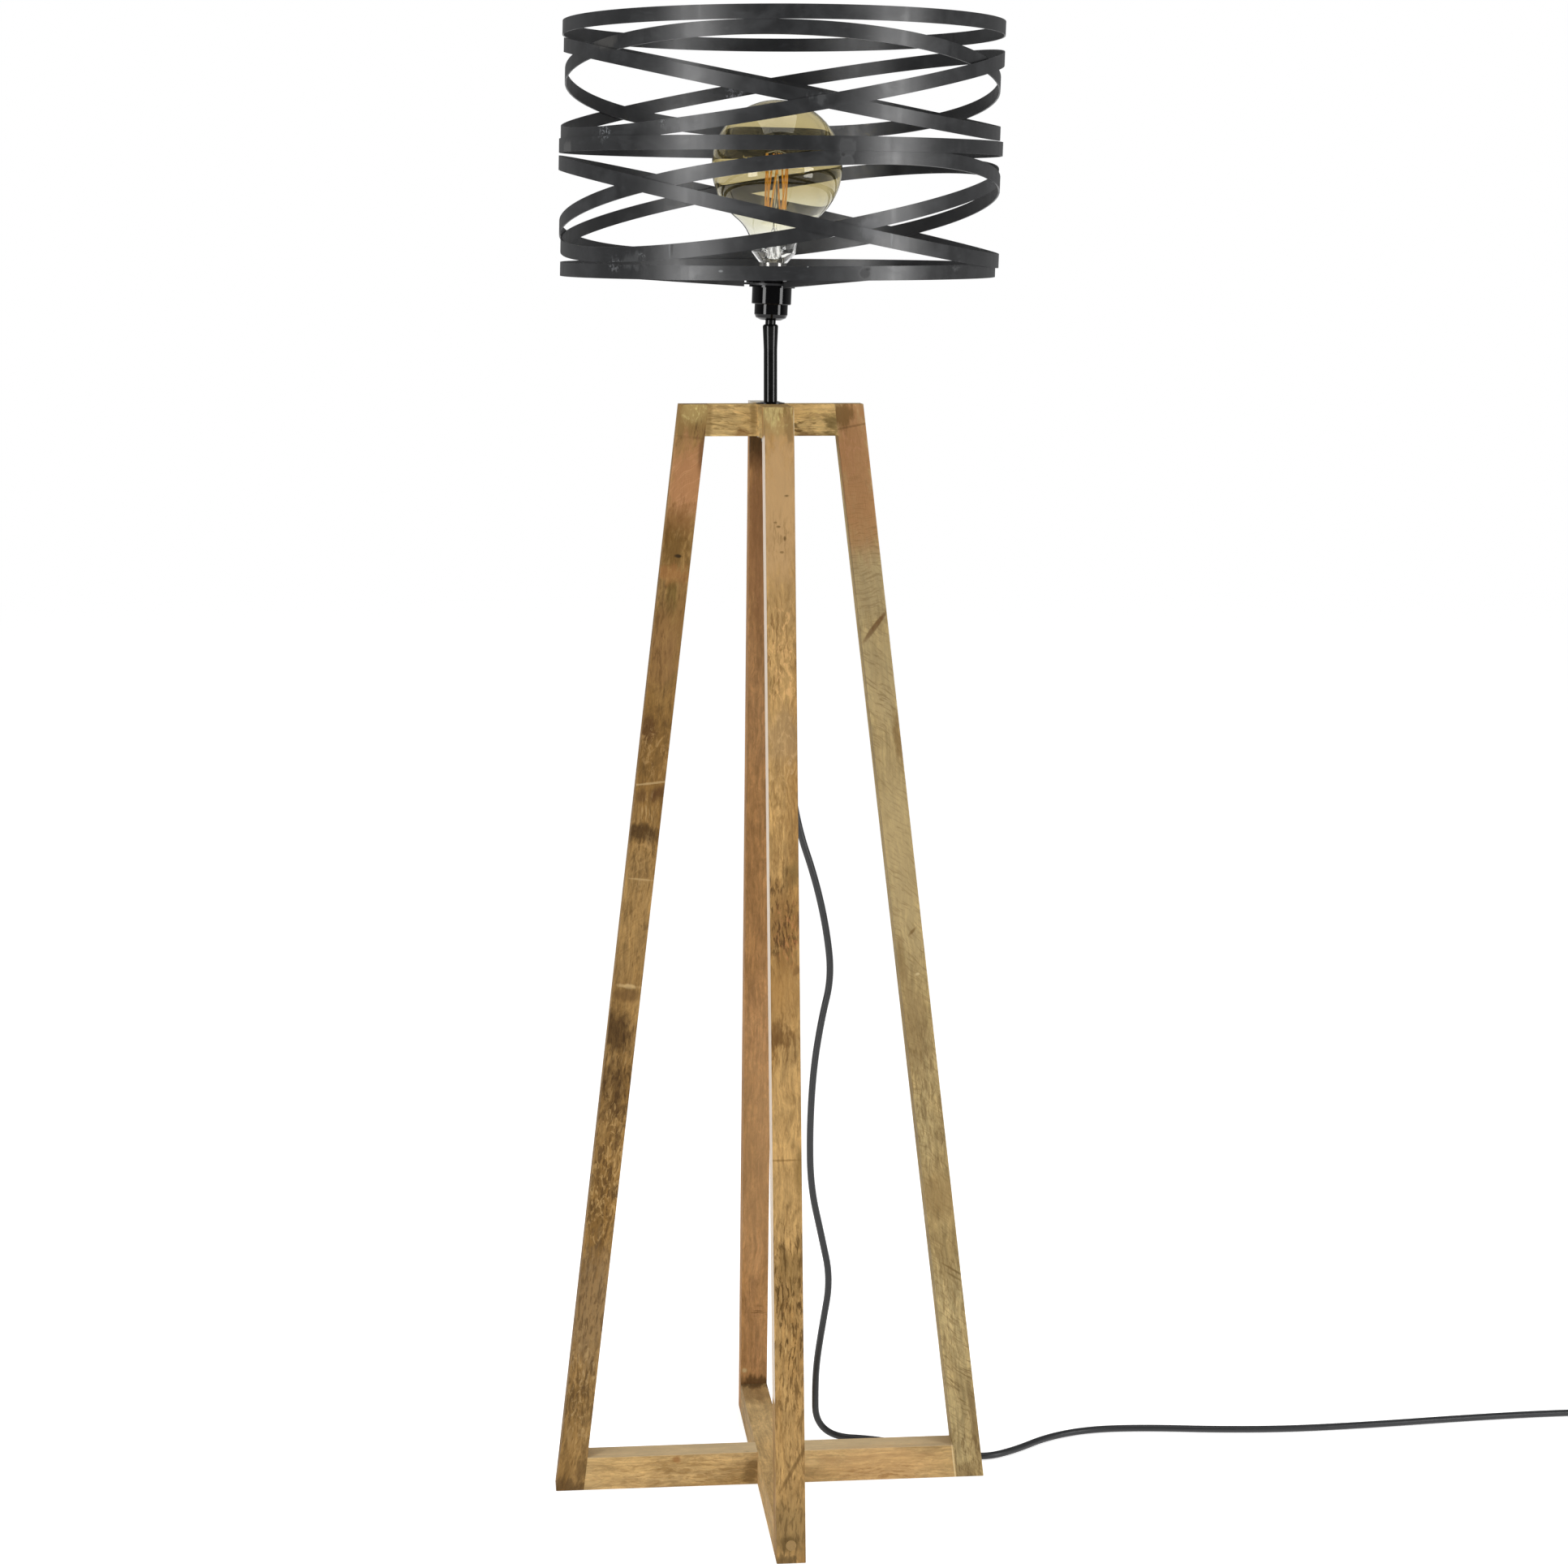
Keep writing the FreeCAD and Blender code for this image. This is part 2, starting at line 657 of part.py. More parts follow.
filaments = []
wires = []
pairs = int(driving["filamentPairs"])
step = 360.0 / pairs
for index in range(pairs):
    for side in (-1, 1):
        headAngle = math.radians(driving["filamentTurn"] + index * step + side * driving["filamentSpread"])
        footAngle = math.radians(driving["filamentTurn"] + index * step
                                 + side * (step / 2 - driving["filamentSpread"]))
        tag = "%d_%d" % (index, side + 1)
        foot = (driving["filamentFootRadius"] * math.cos(footAngle),
                driving["filamentFootRadius"] * math.sin(footAngle), filamentLow.value)
        head = (driving["filamentTopRadius"] * math.cos(headAngle),
                driving["filamentTopRadius"] * math.sin(headAngle), filamentTop.value)
        filaments.append(rodBetween("Filament" + tag, foot, head, size["filamentRadius"]))
        for name, end, level in (("Foot", foot, filamentLow.value - 4),
                                 ("Head", head, filamentTop.value + 3)):
            reach = driving["mountRodRadius"] / math.hypot(end[0], end[1])
            hub = (end[0] * reach, end[1] * reach, level)
            wires.append(rodBetween("Support%s%s" % (name, tag), hub, end, size["wireRadius"]))
keep("bulb_filaments", lean(together("BulbFilaments", filaments)))
rod = cylinder("WireRod", size["mountRodRadius"], size["filamentRise"] * 1.4,
               (0, 0, filamentLow - size["filamentRise"] * 0.2))
wireCutter = fuse("WireCutter", [rod] + [doc.copyObject(piece, False) for piece in filaments])
keep("filament_wires", lean(cut("FilamentWires", together("WireLengths", wires), wireCutter)))


# Drum of hoops: each hoop is a round band cut from a tube by two parallel slanted planes
def shadePlacement(item):
    turn = math.radians(driving["viewTurn"])
    return place(item, (size["shadeShift"] * math.cos(turn), size["shadeShift"] * math.sin(turn),
                        leanPivot + size["shadeRise"]), leanVector(), size["shadeLean"])


def hoop(name):
    layer, height, climb, heading = size[name]
    outer = size["shadeRadius"] - size["stripThickness"] * layer
    inner = outer - size["stripThickness"]
    slope = climb / (outer - size["stripThickness"] / 2)
    tilt = slopeAngle(slope)
    reach = climb + size["stripWidth"] * 2
    wall = cut(name + "Wall", cylinder(name + "Outside", outer, reach * 2, (0, 0, height - reach)),
               cylinder(name + "Inside", inner, reach * 2, (0, 0, height - reach)))
    half = size["stripWidth"] / 2
    turn = math.radians(heading.value)
    slab = cylinder(name + "Slab", size["shadeRadius"] * 1.2, size["stripWidth"],
                    (half * sine(tilt) * cosine(heading), half * sine(tilt) * sine(heading),
                     height - half * cosine(tilt)),
                    (math.sin(turn), -math.cos(turn), 0), tilt)
    return shadePlacement(common(name + "Band", wall, slab))


for hoopName in hoops:
    keep(hoopName, hoop(hoopName))

# Hub plate, clamped on the lampholder, and its three spokes
hubPlate = turned("HubPlate", [
    (size["shellRadius"] + size["boreClearance"], collarTop), (size["hubRadius"], collarTop),
    (size["hubRadius"], hubTop), (size["shellRadius"] + size["boreClearance"], hubTop)])
keep("hub_plate", lean(hubPlate))

spokeHeadings = {"spoke_left": 169.6, "spoke_front": 289.6, "spoke_back": 49.6}


def pointOnHub(heading):
    turn = math.radians(heading)
    local = FreeCAD.Vector(driving["hubRadius"] * math.cos(turn), driving["hubRadius"] * math.sin(turn),
                           (collarTop.value + hubTop.value) / 2)
    return nodes["hub_plate"].Placement.multVec(local)


footLayer, footHeight, footClimb, footHigh = hoops["hoop_foot"]
footInside = driving["shadeRadius"] - driving["stripThickness"] * (footLayer + 1)


def pointOnFootHoop(heading):
    turn = math.radians(heading)
    level = footHeight + footClimb * math.cos(turn - math.radians(footHigh)) - driving["spokeDrop"]
    local = FreeCAD.Vector(footInside * math.cos(turn), footInside * math.sin(turn), level)
    return nodes["hoop_foot"].Placement.multVec(local)


def spoke(name, heading):
    start = pointOnHub(heading)
    end = pointOnFootHoop(heading)
    along = (end - start).normalize()
    across = FreeCAD.Vector(0, 0, 1).cross(along).normalize()
    up = along.cross(across)
    halfThick = driving["spokeThickness"] / 2
    halfTall = driving["spokeHeight"] / 2
    corners = [start + across * a * halfThick + up * b * halfTall for a, b in
               ((-1, -1), (1, -1), (1, 1), (-1, 1), (-1, -1))]
    bar = Part.Face(Part.makePolygon(corners)).extrude(end - start + along * driving["spokeHeight"])
    # the bar ends square on the hub's rim and on the inside of the foot hoop
    reach = (end - start).Length
    trim = Part.makeCylinder(footInside, reach * 2, FreeCAD.Vector(0, 0, -reach))
    trim.Placement = nodes["hoop_foot"].Placement.multiply(trim.Placement)
    hub = Part.makeCylinder(driving["hubRadius"], reach * 2, FreeCAD.Vector(0, 0, hubTop.value - reach))
    hub.Placement = nodes["hub_plate"].Placement.multiply(hub.Placement)
    item = doc.addObject("Part::Feature", name)
    item.Shape = bar.common(trim).cut(hub)
    return item


doc.recompute()
for spokeName, heading in spokeHeadings.items():
    keep(spokeName, spoke(spokeName, heading))

# Mains cord: hand-chosen route in millimetres from the gland to the coil
radius = driving["cordRadius"]
lie = radius
cordRoute = [
    (0, 0, glandFoot.value), (0, 0, 985), (7, 9, 925), (17, 18, 862), (17, 24, 797), (20, 27, 733),
    (31, 31, 668), (48, 33, 618), (60, 35, 566), (66, 38, 514), (56, 41, 470), (48, 44, 416),
    (45, 48, 350), (47, 55, 290), (59, 61, 236), (69, 65, 188), (61, 70, 136), (56, 80, 92),
    (56, 90, 57), (57.5, 99, 23), (77, 101, lie), (116, 92, lie), (160, 66, lie), (196, 40, lie),
    (228, 28, lie), (262, 46, lie), (302, 80, lie), (352, 98, lie), (414, 96, lie), (486, 84, lie),
    (566, 78, lie), (658, 83, lie), (752, 92, lie), (848, 98, lie), (944, 96, lie)]


def roundedPath(points):
    corners = [FreeCAD.Vector(*point) for point in points]
    edges = []
    radii = []
    last = corners[0]
    for index in range(1, len(corners) - 1):
        before = corners[index] - corners[index - 1]
        after = corners[index + 1] - corners[index]
        turn = before.getAngle(after)
        tangent = 0.45 * min(before.Length, after.Length)
        radii.append(tangent / math.tan(turn / 2))
        first = corners[index] - before.normalize() * tangent
        second = corners[index] + after.normalize() * tangent
        inward = ((first + second) / 2 - corners[index]).normalize()
        bulge = radii[-1] / math.cos(turn / 2) - radii[-1]
        edges.append(Part.LineSegment(last, first).toShape())
        edges.append(Part.Arc(first, corners[index] + inward * bulge, second).toShape())
        last = second
    edges.append(Part.LineSegment(last, corners[-1]).toShape())
    return Part.Wire(edges), radii


def tube(name, points):
    path, radii = roundedPath(points)
    direction = FreeCAD.Vector(*points[1]) - FreeCAD.Vector(*points[0])
    ring = Part.Wire([Part.Circle(FreeCAD.Vector(*points[0]), direction, radius).toShape()])
    solid = path.makePipeShell([ring], True, False)
    expected = math.pi * radius ** 2 * path.Length
    print("%s: length %.0f, smallest radius %.1f, volume over expected %.5f" % (
        name, path.Length, min(radii), solid.Volume / expected))
    item = doc.addObject("Part::Feature", name)
    item.Shape = solid
    return item, path


cordItem, cordPath = tube("MainsCord", cordRoute)
keep("mains_cord", cordItem)

# Put-away coil: one unbroken tube, climbing a little more than its own width each turn
coilTurns = driving["coilTurns"]
coilRadius = driving["coilRadius"]
coilStart = FreeCAD.Vector(*cordRoute[-1])
coilDirection = (coilStart - FreeCAD.Vector(*cordRoute[-2])).normalize()
coilSide = FreeCAD.Vector(0, 0, 1).cross(coilDirection)
coilCentre = coilStart + coilSide * coilRadius


def coilPoint(turnCount):
    angle = 2 * math.pi * turnCount
    climb = driving["coilPitch"] * turnCount
    out = coilDirection * math.sin(angle) - coilSide * math.cos(angle)
    return coilCentre + out * coilRadius + FreeCAD.Vector(0, 0, climb)


steps = int(round(coilTurns * 4))
coilEdges = []
for step in range(steps):
    share = [coilTurns * (step + part) / steps for part in (0, 0.5, 1)]
    coilEdges.append(Part.Arc(*[coilPoint(value) for value in share]).toShape())
coilPath = Part.Wire(coilEdges)
coilRing = Part.Wire([Part.Circle(coilStart, coilDirection, radius).toShape()])
coil = doc.addObject("Part::Feature", "CordCoil")
coil.Shape = coilPath.makePipeShell([coilRing], True, False)
keep("cord_coil", coil)
coilPoints = [coilPoint(coilTurns * index / 400.0) for index in range(401)]
perTurn = int(400 / coilTurns)
leastGap = min((coilPoints[i] - coilPoints[j]).Length for i in range(401)
               for j in range(i + perTurn // 2, 401)) - 2 * radius
print("coil: length %.0f, least gap to itself %.2f" % (coilPath.Length, leastGap))

# Last stretch of the cord, from the top of the coil down to the plug on the floor
upward = FreeCAD.Vector(0, 0, 1)
coilEnd = coilPoint(coilTurns)
endTangent = coilEdges[-1].tangentAt(coilEdges[-1].LastParameter)
plugLevel = driving["plugThickness"] / 2


def endPoint(ahead, aside, level):
    point = coilEnd + coilDirection * ahead + coilSide * aside
    return (point.x, point.y, level)


endLead = coilEnd + endTangent * driving["coilLead"]
endStages = [(64, -4, plugLevel * 2), (100, -13, plugLevel), (136, -25, plugLevel)]
endRoute = [tuple(coilEnd), tuple(endLead)] + [endPoint(*stage) for stage in endStages]
endItem, endPath = tube("CordEnd", endRoute)
keep("cord_end", endItem)
print("cord in all: %.0f" % (cordPath.Length + coilPath.Length + endPath.Length))

plugStart = FreeCAD.Vector(*endRoute[-1])
plugAlong = plugStart - FreeCAD.Vector(*endRoute[-2])
plugAlong.z = 0
plugAlong.normalize()
plugTurn = FreeCAD.Rotation(upward.cross(plugAlong), upward, plugAlong, "ZXY")


def alongPlug(item):
    item.Placement = FreeCAD.Placement(plugStart, plugTurn)
    return item


bootTip = size["cordRadius"] + 0.9
bootRoot = size["plugThickness"] / 2 - 0.5
keep("plug_boot", alongPlug(turned("PlugBoot", [
    (0, 0), (bootTip, 0), (bootRoot, size["bootLength"]), (0, size["bootLength"])])))
plugFoot = size["bootLength"]
plugFace = plugFoot + size["plugLength"]
plugSide = size["plugWidth"] / 2
keep("plug_body", alongPlug(sawn("PlugBody", [
    (-bootRoot - 1, plugFoot), (bootRoot + 1, plugFoot),
    (plugSide - 1, plugFoot + size["plugLength"] * 0.55),
    (plugSide, plugFoot + size["plugLength"] * 0.8), (plugSide, plugFace), (-plugSide, plugFace),
    (-plugSide, plugFoot + size["plugLength"] * 0.8),
    (-plugSide + 1, plugFoot + size["plugLength"] * 0.55)], size["plugThickness"])))
pins = []
for side in (-1, 1):
    offset = size["pinSpacing"] / 2 * side
    pins.append(cylinder("PinShank%d" % (side + 1), size["pinRadius"], size["pinLength"] - 1,
                         (offset, 0, plugFace)))
    pins.append(cone("PinNose%d" % (side + 1), size["pinRadius"], size["pinRadius"] - 0.8, 1,
                     (offset, 0, plugFace + size["pinLength"] - 1)))
keep("plug_pins", alongPlug(fuse("PlugPins", pins)))
doc.recompute()

for node, item in nodes.items():
    if item is None:
        raise SystemExit("node %s has no object" % node)
bad = [item.Name for item in doc.Objects if "Invalid" in item.State or "Error" in item.State]
if bad:
    raise SystemExit("failed objects: %s" % ", ".join(bad))
for node, item in nodes.items():
    if item.Shape.isNull() or not item.Shape.isValid():
        raise SystemExit("bad shape: %s" % node)
for node, item in nodes.items():
    item.Shape.exportStep("parts/%s.step" % node)
print("%d nodes" % len(nodes))
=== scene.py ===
import math
import random

import bpy
from mathutils import Matrix, Vector


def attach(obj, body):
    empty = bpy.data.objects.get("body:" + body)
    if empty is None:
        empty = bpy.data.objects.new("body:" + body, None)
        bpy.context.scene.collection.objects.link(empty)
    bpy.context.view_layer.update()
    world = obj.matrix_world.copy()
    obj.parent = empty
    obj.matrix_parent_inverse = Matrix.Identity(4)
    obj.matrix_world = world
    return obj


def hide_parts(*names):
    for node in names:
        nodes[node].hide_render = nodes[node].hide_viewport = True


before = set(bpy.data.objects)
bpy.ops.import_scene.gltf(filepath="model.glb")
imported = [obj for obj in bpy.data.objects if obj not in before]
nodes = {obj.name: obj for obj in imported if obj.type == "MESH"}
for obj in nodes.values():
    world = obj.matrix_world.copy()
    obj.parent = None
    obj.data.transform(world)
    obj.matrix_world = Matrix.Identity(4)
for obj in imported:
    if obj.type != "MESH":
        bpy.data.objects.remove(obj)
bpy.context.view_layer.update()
random.seed(7)


# small helpers for colours, nodes and materials

def srgb(red, green, blue):
    channels = []
    for value in (red, green, blue):
        share = value / 255.0
        channels.append(share / 12.92 if share <= 0.04045 else ((share + 0.055) / 1.055) ** 2.4)
    return (*channels, 1.0)


# an input called at0, at1 and so on goes to the socket with that number, others go by the socket's label
def addNode(tree, kind, settings, **inputs):
    node = tree.nodes.new(kind)
    for name, value in settings.items():
        setattr(node, name, value)
    for name, value in inputs.items():
        label = int(name[2:]) if name.startswith("at") else name.replace("_", " ")
        if isinstance(value, bpy.types.NodeSocket):
            tree.links.new(value, node.inputs[label])
        else:
            node.inputs[label].default_value = value
    return node


def blendColors(tree, mode, share, first, second):
    node = addNode(tree, "ShaderNodeMix", {"data_type": "RGBA", "blend_type": mode}, at0=share, at6=first,
                   at7=second)
    return node.outputs[2]


def blendValues(tree, share, first, second):
    return addNode(tree, "ShaderNodeMix", {"data_type": "FLOAT"}, at0=share, at2=first, at3=second).outputs[0]


def shaded(tree, color, shade):
    grey = addNode(tree, "ShaderNodeCombineColor", {}, Red=shade, Green=shade, Blue=shade)
    return blendColors(tree, "MULTIPLY", 1.0, color, grey.outputs[0])


def remap(tree, value, low, high, toLow=0.0, toHigh=1.0):
    node = addNode(tree, "ShaderNodeMapRange", {"interpolation_type": "SMOOTHSTEP"}, Value=value,
                   From_Min=low, From_Max=high, To_Min=toLow, To_Max=toHigh)
    return node.outputs["Result"]


def maths(tree, operation, first, second):
    return addNode(tree, "ShaderNodeMath", {"operation": operation}, at0=first, at1=second).outputs[0]


def vectorMaths(tree, operation, first, second):
    return addNode(tree, "ShaderNodeVectorMath", {"operation": operation}, at0=first, at1=second).outputs[0]


def parted(tree, vector):
    return addNode(tree, "ShaderNodeSeparateXYZ", {}, Vector=vector).outputs


def objectPlace(tree):
    return tree.nodes.new("ShaderNodeTexCoord").outputs["Object"]


# scale is in waves per metre along the three directions of the vector
def noiseNode(tree, vector, scale, detail=2.0, roughness=0.5, distortion=0.0):
    scaled = vectorMaths(tree, "MULTIPLY", vector, scale)
    return addNode(tree, "ShaderNodeTexNoise", {}, Vector=scaled, Scale=1.0, Detail=detail,
                   Roughness=roughness, Distortion=distortion)


def noise(tree, vector, scale, detail=2.0, roughness=0.5, distortion=0.0):
    return noiseNode(tree, vector, scale, detail, roughness, distortion).outputs["Fac"]


# a float makes a value socket, three numbers a vector and four a colour
def newGroup(name, inputs, outputs):
    group = bpy.data.node_groups.new(name, "ShaderNodeTree")
    for label, value in inputs.items():
        kind = "Float" if isinstance(value, float) else {3: "Vector", 4: "Color"}[len(value)]
        socket = group.interface.new_socket(label, in_out="INPUT", socket_type="NodeSocket" + kind)
        socket.default_value = value
    for label in outputs:
        kind = "Color" if label == "Color" else "Float"
        group.interface.new_socket(label, in_out="OUTPUT", socket_type="NodeSocket" + kind)
    start = group.nodes.new("NodeGroupInput")
    end = group.nodes.new("NodeGroupOutput")
    return group, start.outputs, end.inputs


def useGroup(tree, group, **inputs):
    return addNode(tree, "ShaderNodeGroup", {"node_tree": group}, **inputs).outputs


def newMaterial(name):
    material = bpy.data.materials.new(name)
    material.use_nodes = True
    tree = material.node_tree
    tree.nodes.clear()
    output = tree.nodes.new("ShaderNodeOutputMaterial")
    shader = tree.nodes.new("ShaderNodeBsdfPrincipled")
    tree.links.new(shader.outputs["BSDF"], output.inputs["Surface"])
    return material, tree, shader


def setPlain(shader, **values):
    for name, value in values.items():
        shader.inputs[name.replace("_", " ")].default_value = value


def bumped(tree, shader, height, strength, distance):
    bump = addNode(tree, "ShaderNodeBump", {}, Strength=strength, Distance=distance, Height=height)
    tree.links.new(bump.outputs["Normal"], shader.inputs["Normal"])


def dress(names, material):
    for name in names:
        mesh = nodes[name].data
        mesh.materials.clear()
        mesh.materials.append(material)


def addToScene(name, data):
    item = bpy.data.objects.new(name, data)
    bpy.context.scene.collection.objects.link(item)
    return item


# camera, backdrop and lights

camera = {"place": (-0.2882, -3.0693, 1.2092), "azimuth": 5.616, "down": 9.047, "roll": 0.063, "lens": 72.67,
          "sensor": 36, "reach": 50}
# gloss shows the room as bright as room in front of the lamp and as behind at its back, and depths gives
# the Y of the directions between which the one passes into the other
studio = {"white": 1.0, "fill": 0.40, "room": 0.12, "behind": 0.28, "depths": (-0.35, 0.15),
          "floor": (0.93, 0.93, 0.93, 1), "floorGlow": 0.62, "floorReach": 9.0, "floorLevel": -0.0006}
lamps = {
    "softboxLeft": {"place": (-1.97, -1.69, 1.15), "aim": (0, 0, 1.05), "size": (0.8, 1.3), "power": 31},
    "softboxRight": {"place": (2.06, -1.58, 1.15), "aim": (0, 0, 1.05), "size": (0.8, 1.3), "power": 31},
    "topLight": {"place": (0.0, -0.3, 3.6), "aim": (0, 0, 0.6), "size": (2.0, 2.0), "power": 30},
}


def placeCamera():
    data = bpy.data.cameras.new("camera")
    data.lens = camera["lens"]
    data.sensor_width = camera["sensor"]
    data.clip_end = camera["reach"]
    turn = Matrix.Rotation(math.radians(-camera["azimuth"]), 4, "Z")
    tilt = Matrix.Rotation(math.radians(90 - camera["down"]), 4, "X")
    roll = Matrix.Rotation(math.radians(camera["roll"]), 4, "Z")
    item = addToScene("camera", data)
    item.matrix_world = Matrix.Translation(camera["place"]) @ turn @ tilt @ roll
    bpy.context.scene.camera = item


def placeLamp(name, values):
    data = bpy.data.lights.new(name, "AREA")
    data.shape = "RECTANGLE"
    data.size, data.size_y = values["size"]
    data.energy = values["power"]
    place = Vector(values["place"])
    facing = (Vector(values["aim"]) - place).to_track_quat("-Z", "Y")
    addToScene(name, data).matrix_world = Matrix.Translation(place) @ facing.to_matrix().to_4x4()


# white all round to the eye; the room before the lamp, which only gloss shows, is dim
def makeWorld():
    world = bpy.data.worlds.new("studio")
    world.use_nodes = True
    tree = world.node_tree
    tree.nodes.clear()
    direction = tree.nodes.new("ShaderNodeTexCoord").outputs["Generated"]
    mirrored = remap(tree, parted(tree, direction)["Y"], *studio["depths"], studio["room"], studio["behind"])
    path = tree.nodes.new("ShaderNodeLightPath").outputs
    straight = maths(tree, "MAXIMUM", path["Is Camera Ray"], path["Is Transmission Ray"])
    unlit = blendValues(tree, path["Is Glossy Ray"], studio["fill"], mirrored)
    strength = blendValues(tree, straight, unlit, studio["white"])
    background = addNode(tree, "ShaderNodeBackground", {}, Color=(1, 1, 1, 1), Strength=strength)
    output = tree.nodes.new("ShaderNodeOutputWorld")
    tree.links.new(background.outputs[0], output.inputs["Surface"])
    bpy.context.scene.world = world


# the floor's glow, which only the eye, gloss and glass see, lifts its colour to white
def makeFloor():
    side = studio["floorReach"]
    level = studio["floorLevel"]
    corners = [(-side, -side, level), (side, -side, level), (side, side, level), (-side, side, level)]
    mesh = bpy.data.meshes.new("floor")
    mesh.from_pydata(corners, [], [(0, 1, 2, 3)])
    material = bpy.data.materials.new("paleFloor")
    material.use_nodes = True
    tree = material.node_tree
    tree.nodes.clear()
    path = tree.nodes.new("ShaderNodeLightPath").outputs
    seen = maths(tree, "MAXIMUM", path["Is Camera Ray"], path["Is Glossy Ray"])
    seen = maths(tree, "MAXIMUM", seen, path["Is Transmission Ray"])
    matt = addNode(tree, "ShaderNodeBsdfDiffuse", {}, Color=studio["floor"])
    glow = addNode(tree, "ShaderNodeEmission", {}, Color=(1, 1, 1, 1), Strength=studio["floorGlow"])
    both = addNode(tree, "ShaderNodeAddShader", {}, at0=matt.outputs[0], at1=glow.outputs[0])
    choice = addNode(tree, "ShaderNodeMixShader", {}, at0=seen, at1=matt.outputs[0], at2=both.outputs[0])
    output = tree.nodes.new("ShaderNodeOutputMaterial")
    tree.links.new(choice.outputs[0], output.inputs["Surface"])
    mesh.materials.append(material)
    addToScene("floor", mesh)


placeCamera()
makeWorld()
makeFloor()
for lampName, values in lamps.items():
    placeLamp(lampName, values)
bpy.context.scene.view_settings.view_transform = "Standard"
print("camera, backdrop and lights stand")


# mains cord

cord = {
    "radius": 0.0035,
    "exit": (0, 0, 1.0305),
    "coilRadius": 0.0385,
    "coilPitch": 0.0084,
    "coilTurns": 2,
    "pointsPerTurn": 12,
    "offCoil": (0.030, 0.001),  # ahead of the last turn's end and above it
    # ahead and sideways of the last turn's end, and above the floor
    "toPlug": [(0.064, -0.004, 0.014), (0.100, -0.013, 0.007), (0.136, -0.025, 0.007)],
    "sides": 5,
    "smoothness": 10,
}
cordRoute = [
    (0, 0, 1.0305), (0, 0, 0.985), (0.007, 0.009, 0.925), (0.017, 0.018, 0.862), (0.017, 0.024, 0.797),
    (0.020, 0.027, 0.733), (0.031, 0.031, 0.668), (0.048, 0.033, 0.618), (0.060, 0.035, 0.566),
    (0.066, 0.038, 0.514), (0.056, 0.041, 0.470), (0.048, 0.044, 0.416), (0.045, 0.048, 0.350),
    (0.047, 0.055, 0.290), (0.059, 0.061, 0.236), (0.069, 0.065, 0.188), (0.061, 0.070, 0.136),
    (0.056, 0.080, 0.092), (0.056, 0.090, 0.057), (0.0575, 0.099, 0.023), (0.077, 0.101, 0.0035),
    (0.116, 0.092, 0.0035), (0.160, 0.066, 0.0035), (0.196, 0.040, 0.0035), (0.228, 0.028, 0.0035),
    (0.262, 0.046, 0.0035), (0.302, 0.080, 0.0035), (0.352, 0.098, 0.0035), (0.414, 0.096, 0.0035),
    (0.486, 0.084, 0.0035), (0.566, 0.078, 0.0035), (0.658, 0.083, 0.0035), (0.752, 0.092, 0.0035),
    (0.848, 0.098, 0.0035), (0.944, 0.096, 0.0035)]


# the control points stand a little outside the turns, so that the curve itself has the coil's radius
def coilAndEnd():
    start = Vector(cordRoute[-1])
    along = (start - Vector(cordRoute[-2])).normalized()
    up = Vector((0, 0, 1))
    aside = up.cross(along)
    centre = start + aside * cord["coilRadius"]
    outer = cord["coilRadius"] / math.cos(math.pi / cord["pointsPerTurn"])
    points = []
    for step in range(cord["coilTurns"] * cord["pointsPerTurn"]):
        turn = (step + 0.5) / cord["pointsPerTurn"]
        angle = 2 * math.pi * turn
        spoke = along * outer * math.sin(angle) - aside * outer * math.cos(angle)
        points.append(centre + spoke + up * cord["coilPitch"] * turn)
    top = start + up * cord["coilPitch"] * cord["coilTurns"]
    ahead, rise = cord["offCoil"]
    points.append(top + along * ahead + up * rise)
    for ahead, sideways, level in cord["toPlug"]:
        point = top + along * ahead + aside * sideways
        points.append(Vector((point.x, point.y, level)))
    return points


def makeCord():
    curve = bpy.data.curves.new("mainsLead", "CURVE")
    curve.dimensions = "3D"
    curve.bevel_depth = 1.0  # the points carry the cord's radius
    curve.bevel_resolution = cord["sides"]
    curve.resolution_u = cord["smoothness"]
    curve.use_fill_caps = True
    spline = curve.splines.new("NURBS")
    points = [Vector(point) for point in cordRoute] + coilAndEnd()
    spline.points.add(len(points) - 1)
    for place, point in zip(spline.points, points):
        place.co = (*point, 1)
        place.radius = cord["radius"]
    spline.order_u = 3
    spline.use_endpoint_u = True
    return addToScene("mainsLead", curve)


lead = makeCord()
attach(lead, "lamp")
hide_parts("mains_cord", "cord_coil", "cord_end")
print("cord laid")


# stains, scratches, weld spots and other marks that a piece has in one place, and painted shadows and
# highlights laid on the same way

# at is the middle of a mark and size how far it reaches from there, both in millimetres, and colours are
# screen values. A pattern of the material's group breaks the mark up, ragged tears its outline, soft blurs
# it and slant raises it on the way across.
def stainAndLightMark(at, size, color, share, pattern=None, ragged=0.35, soft=0.4, slant=0.0):
    return {"at": at, "size": size, "color": color, "share": share, "pattern": pattern, "ragged": ragged,
            "soft": soft, "slant": slant}


# rim is where the blurred outline has its middle, as a share of the size, and tear how much noise shifts it
stainAndLightOutline = {"noise": ((170, 170, 70), 4.0, 0.62), "tear": 4.0, "rim": 0.8}


